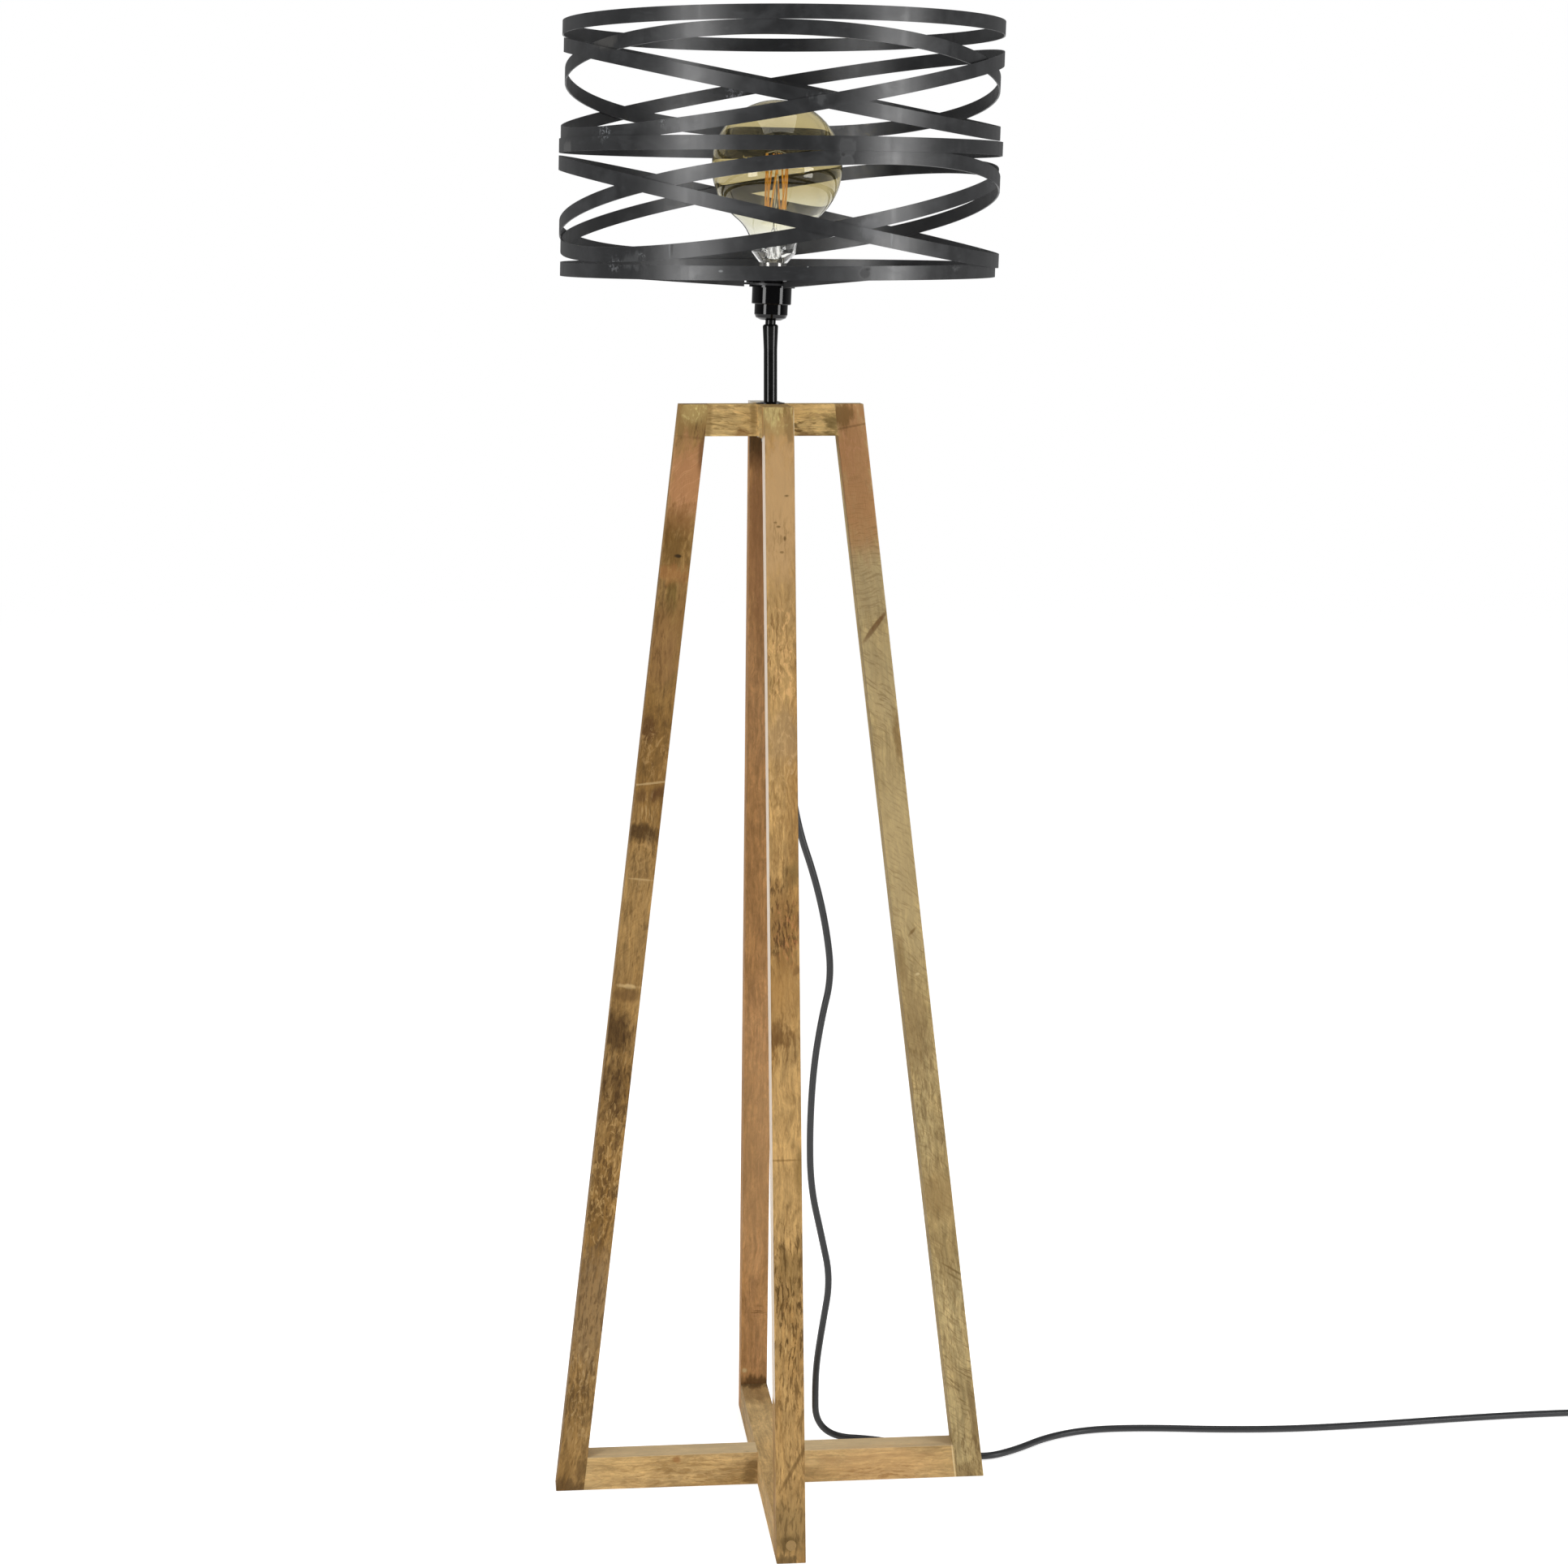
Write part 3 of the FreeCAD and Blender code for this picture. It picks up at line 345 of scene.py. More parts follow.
def makeStainAndLightPatch():
    tree, given, result = newGroup("stainAndLightPatch", {
        "Vector": (0, 0, 0), "Centre": (0, 0, 0), "Spread": (60, 60, 60), "Slant": 0.0, "Ragged": 0.35,
        "Soft": 0.4, "Share": 0.5}, ["Mask"])
    away = parted(tree, vectorMaths(tree, "SUBTRACT", given["Vector"], given["Centre"]))
    sideways = maths(tree, "ADD", away["X"], away["Y"])
    lifted = maths(tree, "SUBTRACT", away["Z"], maths(tree, "MULTIPLY", sideways, given["Slant"]))
    slanted = addNode(tree, "ShaderNodeCombineXYZ", {}, X=away["X"], Y=away["Y"], Z=lifted).outputs[0]
    scaled = vectorMaths(tree, "MULTIPLY", slanted, given["Spread"])
    distance = addNode(tree, "ShaderNodeVectorMath", {"operation": "LENGTH"}, at0=scaled).outputs["Value"]
    edge = maths(tree, "SUBTRACT", noise(tree, given["Vector"], *stainAndLightOutline["noise"]), 0.5)
    edge = maths(tree, "MULTIPLY", edge, given["Ragged"])
    reach = maths(tree, "ADD", distance, maths(tree, "MULTIPLY", edge, stainAndLightOutline["tear"]))
    inside = maths(tree, "SUBTRACT", maths(tree, "ADD", given["Soft"], stainAndLightOutline["rim"]), reach)
    inside = maths(tree, "DIVIDE", inside, maths(tree, "MULTIPLY", given["Soft"], 2.0))
    tree.links.new(maths(tree, "MULTIPLY", remap(tree, inside, 0.0, 1.0), given["Share"]), result["Mask"])
    return tree


stainAndLightPatch = makeStainAndLightPatch()


def stainAndLightMask(tree, place, mark):
    patch = useGroup(tree, stainAndLightPatch, Vector=place, Centre=[value / 1000 for value in mark["at"]],
                     Spread=[1000 / value for value in mark["size"]], Slant=mark["slant"],
                     Ragged=mark["ragged"], Soft=mark["soft"], Share=mark["share"])
    return patch["Mask"]


# wood

# tooth and flecks are the heights of the fine grain and the depth of the flecks, beside the fibres' own
woodSurface = {"specular": 0.14, "bump": 0.4, "bumpDepth": 0.0006, "roughness": (0.3, 0.7, 0.60, 0.80),
               "tooth": 0.4, "flecks": 0.4}
# each noise of the grain: the course it follows, its scale, detail, roughness and distortion
grainNoise = {
    "broad": ("plain", (24, 24, 4.5), 3.0, 0.55, 0.4),
    "cloud": ("wavy", (70, 70, 24), 4.0, 0.6, 0.5),
    "figure": ("wavy", (150, 150, 42), 5.0, 0.62, 0.6),
    "fibre": ("wavy", (380, 380, 16), 5.0, 0.66, 0.0),
    "Curl": ("wavy", (210, 210, 85), 5.0, 0.68, 1.3),
    "Flecks": ("wavy", (400, 400, 72), 4.0, 0.62, 0.3),
    "Strands": ("wavy", (560, 560, 48), 3.0, 0.6, 0.8),
    "pores": ("plain", (900, 900, 95), 2.0, 0.5, 0.0),
    "Hatch": ("oblique", (360, 34, 1), 4.0, 0.62, 0.2),
    "Ripple": ("wavy", (64, 64, 620), 4.0, 0.6, 0.3),
    "tooth": ("plain", (1500, 1500, 300), 2.0, 0.5, 0.0),
}
# the patterns that marks can use, each with the stretch of its noise over which it sets in
grainPatterns = {"Flecks": (0.49, 0.60), "Strands": (0.54, 0.70), "Hatch": (0.50, 0.66),
                 "Ripple": (0.50, 0.62), "Curl": (0.50, 0.64)}
# the stretch of each noise that tones the wood, and the shares or shades that it is turned into
grainTones = {
    "broad": (0.36, 0.64, 0.0, 1.0),
    "cloud": (0.3, 0.7, 0.82, 1.16),
    "figure": (0.48, 0.70, 0.0, 1.0),
    "fibre": (0.3, 0.7, 0.80, 1.18),
    "Curl": (0.3, 0.7, 0.86, 1.14),
    "pores": (0.60, 0.72, 0.0, 1.0),
}
grainDrift = {"scale": (30, 30, 17), "reach": (0.012, 0.012, 0.02)}
legLean = 0.1187  # how far a leg's foot stands out for each unit of height
legFoot = 0.2045  # from the lamp's axis to the middle of a leg at the floor, in metres

# The turn of a leg is its heading, counted from X. Marks are placed in their piece's own directions, the
# third of which runs along the grain: outwards, sideways and up from the foot on a leg; minus the height, Y
# and X on a rail along X; X, minus the height and Y on a rail along Y.
wood = {
    "leg_left": {
        "turn": 180, "light": (160, 126, 76), "middle": (136, 102, 54), "dark": (82, 58, 28),
        "figure": 0.5, "pores": 0.5, "hatching": 0.18,
        "marks": [
            stainAndLightMark((0, 14, 1084), (30, 16, 24), (144, 114, 68), 0.85, ragged=0.05, soft=0.06),
            stainAndLightMark((-2, 14, 1092), (16, 12, 15), (184, 160, 102), 0.55, ragged=0.5),
            stainAndLightMark((-3, 14, 1092), (15, 12, 14), (212, 194, 130), 0.9, "Curl"),
            stainAndLightMark((-8, 14, 1074), (10, 12, 12), (98, 74, 42), 0.7, "Flecks"),
            stainAndLightMark((0, 14, 1067), (30, 12, 1.3), (92, 66, 40), 0.25, ragged=0.1),
            stainAndLightMark((0, 14, 1020), (26, 16, 52), (182, 130, 88), 0.85),
            stainAndLightMark((0, 14, 1020), (26, 16, 46), (206, 156, 108), 0.5, "Hatch"),
            # painted shadow along the inner edge just below the head rail
            stainAndLightMark((-13, 14, 1055), (4, 10, 22), (96, 62, 36), 0.6),
            stainAndLightMark((2, 14, 984), (22, 12, 20), (122, 86, 42), 0.65, ragged=0.7),
            stainAndLightMark((3, 14, 958), (17, 12, 30), (106, 76, 32), 0.75, ragged=0.6),
            stainAndLightMark((2, 14, 934), (22, 12, 10), (166, 116, 68), 0.6, ragged=0.6),
            stainAndLightMark((-1.5, 14, 952), (4, 6, 2), (52, 38, 18), 0.95, ragged=0.2),
            stainAndLightMark((-9, 14, 905), (7, 12, 36), (118, 84, 44), 0.5),
            stainAndLightMark((0, 14, 884), (20, 12, 14), (128, 96, 48), 0.4, ragged=0.7),
            stainAndLightMark((0, 14, 909), (7, 10, 22), (92, 76, 30), 0.6),
            stainAndLightMark((2, 14, 862), (20, 12, 44), (146, 108, 66), 0.6),
            stainAndLightMark((6, 14, 870), (10, 12, 60), (96, 68, 34), 0.6, "Flecks"),
            stainAndLightMark((9, 14, 781), (9, 10, 14), (92, 62, 32), 0.75),
            stainAndLightMark((0, 14, 760), (24, 12, 32), (184, 148, 96), 0.5, "Curl"),
            stainAndLightMark((0, 14, 728), (30, 10, 1.3), (196, 166, 118), 0.6, ragged=0.3, slant=-0.22),
            stainAndLightMark((-8, 14, 719), (9, 10, 9), (88, 58, 30), 0.8, slant=-0.5),
            stainAndLightMark((8, 14, 714), (7, 10, 8), (98, 68, 36), 0.6),
            stainAndLightMark((0, 14, 700), (24, 12, 20), (190, 156, 104), 0.7, "Strands"),
            stainAndLightMark((4, 14, 678), (22, 12, 10), (72, 50, 24), 0.85, ragged=0.5),
            stainAndLightMark((0, 14, 668), (24, 12, 20), (82, 58, 28), 0.6, "Flecks"),
            stainAndLightMark((0, 14, 650), (22, 12, 30), (176, 142, 92), 0.5, "Curl"),
            stainAndLightMark((-2, 14, 632), (16, 10, 1.1), (194, 164, 112), 0.6, ragged=0.3),
            stainAndLightMark((0, 14, 600), (20, 12, 80), (176, 144, 94), 0.45, "Strands"),
            stainAndLightMark((-1, 14, 524), (11, 10, 2.4), (204, 174, 122), 0.75, ragged=0.5),
            stainAndLightMark((0, 14, 515), (18, 12, 8), (98, 70, 38), 0.6),
            stainAndLightMark((6, 14, 477), (15, 12, 26), (72, 50, 24), 0.8, ragged=0.6),
            stainAndLightMark((-6, 14, 480), (10, 12, 24), (152, 120, 76), 0.4, "Curl"),
            stainAndLightMark((0, 14, 440), (24, 12, 62), (66, 46, 22), 0.75, "Flecks"),
            stainAndLightMark((2, 14, 415), (18, 12, 34), (80, 56, 28), 0.55, ragged=0.6),
            stainAndLightMark((0, 14, 452), (20, 12, 10), (178, 146, 96), 0.6, "Strands"),
            stainAndLightMark((0, 14, 320), (24, 12, 95), (78, 54, 27), 0.7, "Flecks"),
            stainAndLightMark((0, 14, 330), (24, 12, 95), (190, 154, 98), 0.75, "Curl"),
            stainAndLightMark((0, 14, 190), (26, 14, 75), (150, 124, 88), 0.55),
            stainAndLightMark((0, 14, 190), (26, 14, 75), (92, 68, 40), 0.65, "Flecks"),
            stainAndLightMark((0, 14, 110), (24, 12, 70), (182, 152, 104), 0.7, "Curl"),
            stainAndLightMark((2, 14, 100), (22, 12, 40), (84, 62, 34), 0.7, "Flecks"),
            stainAndLightMark((-10, 14, 24), (8, 12, 22), (78, 56, 30), 0.5, ragged=0.8),
            stainAndLightMark((0, 14, 4), (30, 16, 9), (84, 62, 36), 0.6, ragged=0.8)]},
    "leg_front": {
        "turn": 270, "light": (182, 146, 92), "middle": (160, 122, 70), "dark": (104, 74, 36),
        "figure": 0.4, "pores": 0.5, "hatching": 0.1,
        # one side face is painted pale to stand for the light falling on it, from its edge on and between two
        # heights, in metres
        "paintedLitSide": {"color": (236, 222, 206), "share": 0.9, "edge": (-0.01385, -0.01395),
                     "bottom": (0.150, 0.156), "top": (1.072, 1.068)},
        "marks": [
            stainAndLightMark((14, 0, 1000), (14, 26, 95), (178, 144, 100), 0.85),
            stainAndLightMark((14, 0, 1090), (14, 30, 24), (158, 130, 82), 0.85, soft=0.2),
            stainAndLightMark((14, -6, 1094), (14, 8, 15), (188, 170, 114), 0.6, ragged=0.8),
            stainAndLightMark((14, 14, 1082), (14, 0.9, 18), (220, 200, 164), 0.9, ragged=0.1),
            stainAndLightMark((14, 0, 1094), (14, 22, 16), (208, 192, 124), 0.8, "Curl"),
            stainAndLightMark((14, 9, 1084), (14, 5, 22), (120, 92, 54), 0.6, ragged=0.7),
            stainAndLightMark((14, 2, 1096), (14, 16, 12), (112, 88, 44), 0.7, "Flecks"),
            stainAndLightMark((14, 6, 1014), (5, 2.6, 1.3), (96, 72, 38), 0.8),
            stainAndLightMark((14, -2, 985), (5, 2.4, 1.2), (96, 72, 38), 0.75),
            stainAndLightMark((14, -5, 989), (5, 2, 1), (104, 78, 42), 0.7),
            stainAndLightMark((14, 4, 974), (5, 1.8, 2.6), (92, 68, 34), 0.85),
            stainAndLightMark((14, 1, 961), (5, 2.4, 1.3), (104, 78, 42), 0.7),
            stainAndLightMark((14, 0, 975), (5, 16, 26), (132, 104, 62), 0.5, "Flecks"),
            stainAndLightMark((14, 0, 905), (10, 26, 36), (150, 120, 76), 0.6),
            stainAndLightMark((14, 0, 890), (10, 26, 50), (124, 94, 52), 0.5, "Flecks"),
            stainAndLightMark((14, 0, 858), (12, 26, 62), (208, 164, 108), 0.75, "Curl"),
            stainAndLightMark((14, -7, 860), (12, 9, 52), (112, 80, 40), 0.6, "Flecks"),
            stainAndLightMark((14, 2, 785), (12, 24, 30), (152, 124, 86), 0.6),
            stainAndLightMark((14, 0, 770), (12, 26, 48), (190, 156, 108), 0.6, "Curl"),
            stainAndLightMark((14, 0, 715), (12, 26, 60), (124, 92, 50), 0.5, "Flecks"),
            stainAndLightMark((14, 8, 655), (12, 12, 14), (106, 88, 50), 0.5),
            stainAndLightMark((14, -3, 610), (12, 18, 52), (120, 84, 42), 0.5, ragged=0.7),
            stainAndLightMark((14, -3, 610), (12, 20, 58), (74, 50, 24), 0.85, "Flecks"),
            stainAndLightMark((14, 4, 600), (12, 16, 40), (184, 122, 78), 0.5, "Curl"),
            stainAndLightMark((14, 11, 565), (6, 4, 5), (78, 54, 28), 0.8, slant=0.6),
            stainAndLightMark((14, 0, 545), (12, 26, 40), (150, 112, 62), 0.55),
            stainAndLightMark((14, -6, 502), (10, 12, 14), (100, 68, 32), 0.75, ragged=0.7),
            stainAndLightMark((14, 0, 500), (10, 26, 36), (96, 66, 32), 0.55, "Flecks"),
            stainAndLightMark((14, 0, 430), (12, 26, 100), (202, 160, 100), 0.5, "Strands"),
            stainAndLightMark((14, -4, 385), (10, 22, 1.2), (120, 88, 46), 0.6, ragged=0.3),
            stainAndLightMark((14, 12, 372), (10, 6, 22), (124, 96, 50), 0.6),
            stainAndLightMark((14, 0, 246), (12, 30, 95), (84, 60, 28), 0.95, "Flecks"),
            stainAndLightMark((14, 3, 280), (12, 16, 32), (104, 78, 38), 0.5, ragged=0.8),
            stainAndLightMark((14, 0, 205), (12, 26, 75), (206, 170, 110), 0.6, "Strands"),
            stainAndLightMark((14, 0, 150), (12, 26, 50), (104, 76, 38), 0.6, "Flecks"),
            stainAndLightMark((14, 3, 90), (12, 16, 4), (96, 70, 36), 0.6, slant=1.7),
            stainAndLightMark((14, 0, 92), (12, 26, 30), (110, 82, 44), 0.6, "Flecks"),
            stainAndLightMark((14, 0, 32), (14, 30, 34), (138, 112, 70), 0.75),
            stainAndLightMark((14, 0, 40), (12, 26, 36), (92, 70, 38), 0.6, "Flecks"),
            stainAndLightMark((14, -2, 16), (12, 11, 10), (84, 64, 32), 0.7, ragged=0.5),
            stainAndLightMark((14, -8, 2), (14, 14, 8), (84, 66, 38), 0.7, ragged=0.8)]},
    "leg_right": {
        "turn": 0, "light": (189, 167, 118), "middle": (167, 143, 96), "dark": (110, 86, 50),
        "figure": 0.22, "pores": 0.4, "hatching": 0.35,
        "marks": [
            stainAndLightMark((0, -14, 1040), (26, 16, 90), (168, 120, 78), 0.85),
            stainAndLightMark((0, -14, 1058), (26, 16, 40), (184, 134, 96), 0.5, "Curl"),
            stainAndLightMark((-10, -14, 1088), (12, 10, 15), (112, 84, 44), 0.8, ragged=0.7),
            stainAndLightMark((0, -14, 1077), (30, 12, 1.2), (104, 76, 42), 0.5, ragged=0.2, slant=0.08),
            stainAndLightMark((0, -14, 985), (26, 14, 45), (172, 128, 84), 0.75),
            stainAndLightMark((0, -14, 990), (26, 14, 64), (136, 102, 64), 0.35, "Ripple"),
            stainAndLightMark((0, -14, 925), (28, 14, 40), (170, 150, 110), 0.65),
            stainAndLightMark((0, -14, 925), (28, 14, 62), (122, 98, 64), 0.42, "Ripple"),
            stainAndLightMark((0, -14, 880), (16, 8, 4.6), (108, 76, 42), 0.95, ragged=0.1, soft=0.25, slant=1.02),
            stainAndLightMark((0, -14, 700), (28, 14, 150), (178, 154, 108), 0.35),
            stainAndLightMark((0, -14, 830), (28, 14, 60), (178, 158, 116), 0.5),
            stainAndLightMark((-5, -14, 826), (20, 14, 52), (124, 102, 66), 0.5, "Hatch"),
            stainAndLightMark((11, -14, 772), (5, 10, 34), (122, 92, 50), 0.65, ragged=0.6),
            stainAndLightMark((0, -14, 740), (28, 14, 90), (134, 112, 72), 0.4, "Hatch"),
            stainAndLightMark((0, -14, 640), (24, 14, 110), (192, 170, 124), 0.4),
            stainAndLightMark((0, -14, 600), (28, 14, 90), (136, 112, 72), 0.4, "Hatch"),
            stainAndLightMark((4, -14, 574), (5, 8, 2.4), (116, 88, 50), 0.75, ragged=0.3, slant=0.8),
            stainAndLightMark((-10, -14, 545), (5, 8, 30), (132, 106, 66), 0.55),
            stainAndLightMark((4, -14, 530), (2.4, 6, 1.6), (216, 194, 146), 0.8, ragged=0.2),
            stainAndLightMark((-5, -14, 480), (16, 12, 60), (144, 120, 80), 0.55),
            stainAndLightMark((0, -14, 400), (28, 14, 110), (118, 94, 58), 0.55, "Flecks"),
            stainAndLightMark((2, -14, 300), (22, 12, 26), (144, 116, 72), 0.5),
            stainAndLightMark((5, -14, 222), (12, 8, 1.6), (108, 82, 46), 0.7, ragged=0.2, slant=-0.8),
            stainAndLightMark((6, -14, 214), (11, 8, 1.6), (114, 88, 50), 0.6, ragged=0.2, slant=-0.8),
            stainAndLightMark((0, -14, 190), (28, 14, 90), (126, 102, 64), 0.5, "Flecks"),
            stainAndLightMark((0, -14, 120), (28, 14, 60), (112, 88, 52), 0.5, "Hatch"),
            stainAndLightMark((11, -14, 60), (5, 12, 60), (116, 92, 56), 0.6),
            stainAndLightMark((0, -14, 30), (28, 14, 40), (108, 84, 50), 0.6, "Flecks"),
            stainAndLightMark((-6, -14, 6), (20, 14, 12), (112, 88, 54), 0.5, ragged=0.6)]},
    "leg_back": {
        "turn": 90, "light": (203, 154, 103), "middle": (184, 137, 86), "dark": (138, 98, 56),
        "figure": 0.22, "pores": 0.35, "hatching": 0.08,
        "marks": [
            stainAndLightMark((-14, 0, 1062), (16, 30, 34), (70, 54, 30), 0.85, ragged=0.3),
            # painted highlight: the top end is whitened where the light from above falls on it
            stainAndLightMark((0, 0, 1103), (34, 34, 12), (240, 238, 230), 0.95, ragged=0.15),
            stainAndLightMark((-14, 6, 1020), (16, 10, 12), (196, 150, 108), 0.6, "Curl"),
            stainAndLightMark((-14, 0, 960), (14, 30, 100), (174, 125, 83), 0.6),
            stainAndLightMark((-14, 0, 300), (14, 24, 150), (194, 155, 108), 0.35),
            stainAndLightMark((-14, -4, 118), (14, 14, 12), (112, 78, 46), 0.6, "Ripple"),
            stainAndLightMark((-14, 0, 36), (12, 30, 10), (88, 64, 34), 0.75, ragged=0.6),
            stainAndLightMark((-14, 10, 52), (6, 3, 3.4), (222, 198, 146), 0.8, ragged=0.2)]},
    "foot_rail_across": {
        "along": "X", "light": (200, 168, 116), "middle": (186, 152, 98), "dark": (132, 100, 56),
        "figure": 0.22, "pores": 0.35, "hatching": 0.05,
        "marks": [
            # painted light: the top face is lightened where the light from above falls on it
            stainAndLightMark((-35.4, 0, 0), (2.4, 90, 900), (206, 186, 150), 0.6, ragged=0.1, soft=0.1),
            stainAndLightMark((-17, -14, 110), (24, 16, 70), (196, 154, 104), 0.4),
            stainAndLightMark((-20, -14, 41), (5, 8, 9), (216, 184, 130), 0.6, ragged=0.15),
            stainAndLightMark((0, -14, 189.2), (60, 30, 0.8), (232, 210, 162), 0.8, ragged=0.05, slant=legLean),
            stainAndLightMark((-12, -14, -22), (20, 12, 9), (104, 80, 44), 0.65, ragged=0.8),
            stainAndLightMark((-29, -14, -96), (4, 6, 4.4), (150, 104, 60), 0.75),
            stainAndLightMark((-15, -14, -100), (14, 8, 75), (216, 184, 130), 0.5, "Strands"),
            stainAndLightMark((-15, -14, -90), (20, 8, 90), (136, 102, 56), 0.5, "Flecks"),
            stainAndLightMark((-8, -14, 120), (10, 8, 60), (146, 108, 62), 0.6, "Flecks")]},
    "foot_rail_deep": {
        "along": "Y", "light": (200, 168, 116), "middle": (188, 154, 102), "dark": (132, 100, 56),
        "figure": 0.18, "pores": 0.35, "hatching": 0.05,
        "marks": [
            stainAndLightMark((0, -34, 183), (24, 12, 13), (90, 66, 38), 0.8, ragged=0.7),
            stainAndLightMark((0, -34, 150), (24, 12, 26), (150, 114, 72), 0.5)]},
    "head_rail_across": {
        "along": "X", "light": (212, 180, 120), "middle": (192, 156, 100), "dark": (128, 98, 54),
        "figure": 0.32, "pores": 0.3, "hatching": 0.05,
        "marks": [
            stainAndLightMark((-1076, -14, -40), (20, 12, 30), (112, 86, 44), 0.55, "Flecks"),
            stainAndLightMark((-1076, -14, -62), (26, 12, 5), (122, 94, 52), 0.6),
            stainAndLightMark((-1062, -14, -30), (6, 12, 10), (120, 82, 42), 0.7, ragged=0.8),
            stainAndLightMark((-1068, -14, 36), (12, 12, 24), (92, 70, 32), 0.8, "Flecks"),
            stainAndLightMark((-1062, -14, 34), (6, 12, 10), (92, 64, 30), 0.7, ragged=0.8),
            stainAndLightMark((-1070, -14, 58), (14, 12, 9), (98, 80, 40), 0.7, ragged=0.7),
            stainAndLightMark((-1082, -14, 40), (6, 12, 26), (222, 196, 122), 0.6, "Curl"),
            stainAndLightMark((-1078, -14, -18), (18, 12, 4), (120, 96, 56), 0.6)]},
    "head_rail_deep": {
        "along": "Y", "light": (200, 168, 110), "middle": (180, 146, 90), "dark": (116, 90, 44),
        "figure": 0.45, "pores": 0.4, "hatching": 0.05,
        "marks": [
            # painted highlight: the top face behind the crossing is whitened where the light falls on it
            stainAndLightMark((0, -1091, 50), (30, 4, 30), (232, 226, 210), 0.85, ragged=0.2)]},
}


def makeWoodGrain():
    tree, given, result = newGroup("woodGrain", {
        "Vector": (0, 0, 0), "Light": (0.5, 0.3, 0.15, 1), "Middle": (0.4, 0.2, 0.1, 1),
        "Dark": (0.2, 0.1, 0.05, 1), "Figure": 0.5, "Pores": 0.5, "Hatching": 0.3},
        ["Color", "Height", "Roughness", *grainPatterns])
    place = given["Vector"]
    drift = noiseNode(tree, place, grainDrift["scale"]).outputs["Color"]
    drift = vectorMaths(tree, "SUBTRACT", drift, (0.5, 0.5, 0.5))
    wavy = vectorMaths(tree, "ADD", place, vectorMaths(tree, "MULTIPLY", drift, grainDrift["reach"]))
    parts = parted(tree, wavy)
    across = maths(tree, "ADD", parts["X"], parts["Y"])
    oblique = addNode(tree, "ShaderNodeCombineXYZ", {}, X=maths(tree, "ADD", across, parts["Z"]),
                      Y=maths(tree, "SUBTRACT", across, parts["Z"]), Z=0.0).outputs[0]
    courses = {"plain": place, "wavy": wavy, "oblique": oblique}
    waves = {}
    for name, (course, *texture) in grainNoise.items():
        waves[name] = noise(tree, courses[course], *texture)
    patterns = {}
    for name, (low, high) in grainPatterns.items():
        patterns[name] = remap(tree, waves[name], low, high)
        tree.links.new(patterns[name], result[name])
    tones = {}
    for name, stretch in grainTones.items():
        tones[name] = remap(tree, waves[name], *stretch)
    # broad clouds of light and middle wood, then dark figure, fine streaks, pores and saw marks
    color = blendColors(tree, "MIX", tones["broad"], given["Light"], given["Middle"])
    color = shaded(tree, color, tones["cloud"])
    figure = maths(tree, "MULTIPLY", tones["figure"], given["Figure"])
    color = blendColors(tree, "MIX", figure, color, given["Dark"])
    color = shaded(tree, color, maths(tree, "MULTIPLY", tones["fibre"], tones["Curl"]))
    pores = maths(tree, "MULTIPLY", tones["pores"], given["Pores"])
    color = blendColors(tree, "MIX", pores, color, given["Dark"])
    sawn = maths(tree, "MULTIPLY", patterns["Hatch"], given["Hatching"])
    tree.links.new(blendColors(tree, "MIX", sawn, color, given["Dark"]), result["Color"])
    pits = maths(tree, "ADD", pores, maths(tree, "MULTIPLY", patterns["Flecks"], woodSurface["flecks"]))
    raised = maths(tree, "ADD", waves["fibre"], maths(tree, "MULTIPLY", waves["tooth"], woodSurface["tooth"]))
    tree.links.new(maths(tree, "SUBTRACT", raised, pits), result["Height"])
    tree.links.new(remap(tree, waves["fibre"], *woodSurface["roughness"]), result["Roughness"])
    return tree


def grainMapping(tree, values):
    shift = Vector((0, 0, 0))
    if "turn" in values:
        lean = Matrix.Rotation(math.atan(legLean), 3, "Y")
        rotation = lean @ Matrix.Rotation(math.radians(-values["turn"]), 3, "Z")
        shift = -(lean @ Vector((legFoot, 0, 0)))
    elif values["along"] == "X":
        rotation = Matrix.Rotation(math.radians(-90), 3, "Y")
    else:
        rotation = Matrix.Rotation(math.radians(90), 3, "X")
    mapping = addNode(tree, "ShaderNodeMapping", {"vector_type": "POINT"}, Vector=objectPlace(tree),
                      Location=shift, Rotation=rotation.to_euler("XYZ"))
    return mapping.outputs["Vector"]


# paints the light on one side face as a pale colour over the wood
def paintLitSide(tree, place, color, pale):
    parts = parted(tree, place)
    side = remap(tree, parts["Y"], *pale["edge"], 0.0, pale["share"])
    side = maths(tree, "MULTIPLY", side, remap(tree, parts["Z"], *pale["top"]))
    side = maths(tree, "MULTIPLY", side, remap(tree, parts["Z"], *pale["bottom"]))
    return blendColors(tree, "MIX", side, color, srgb(*pale["color"]))


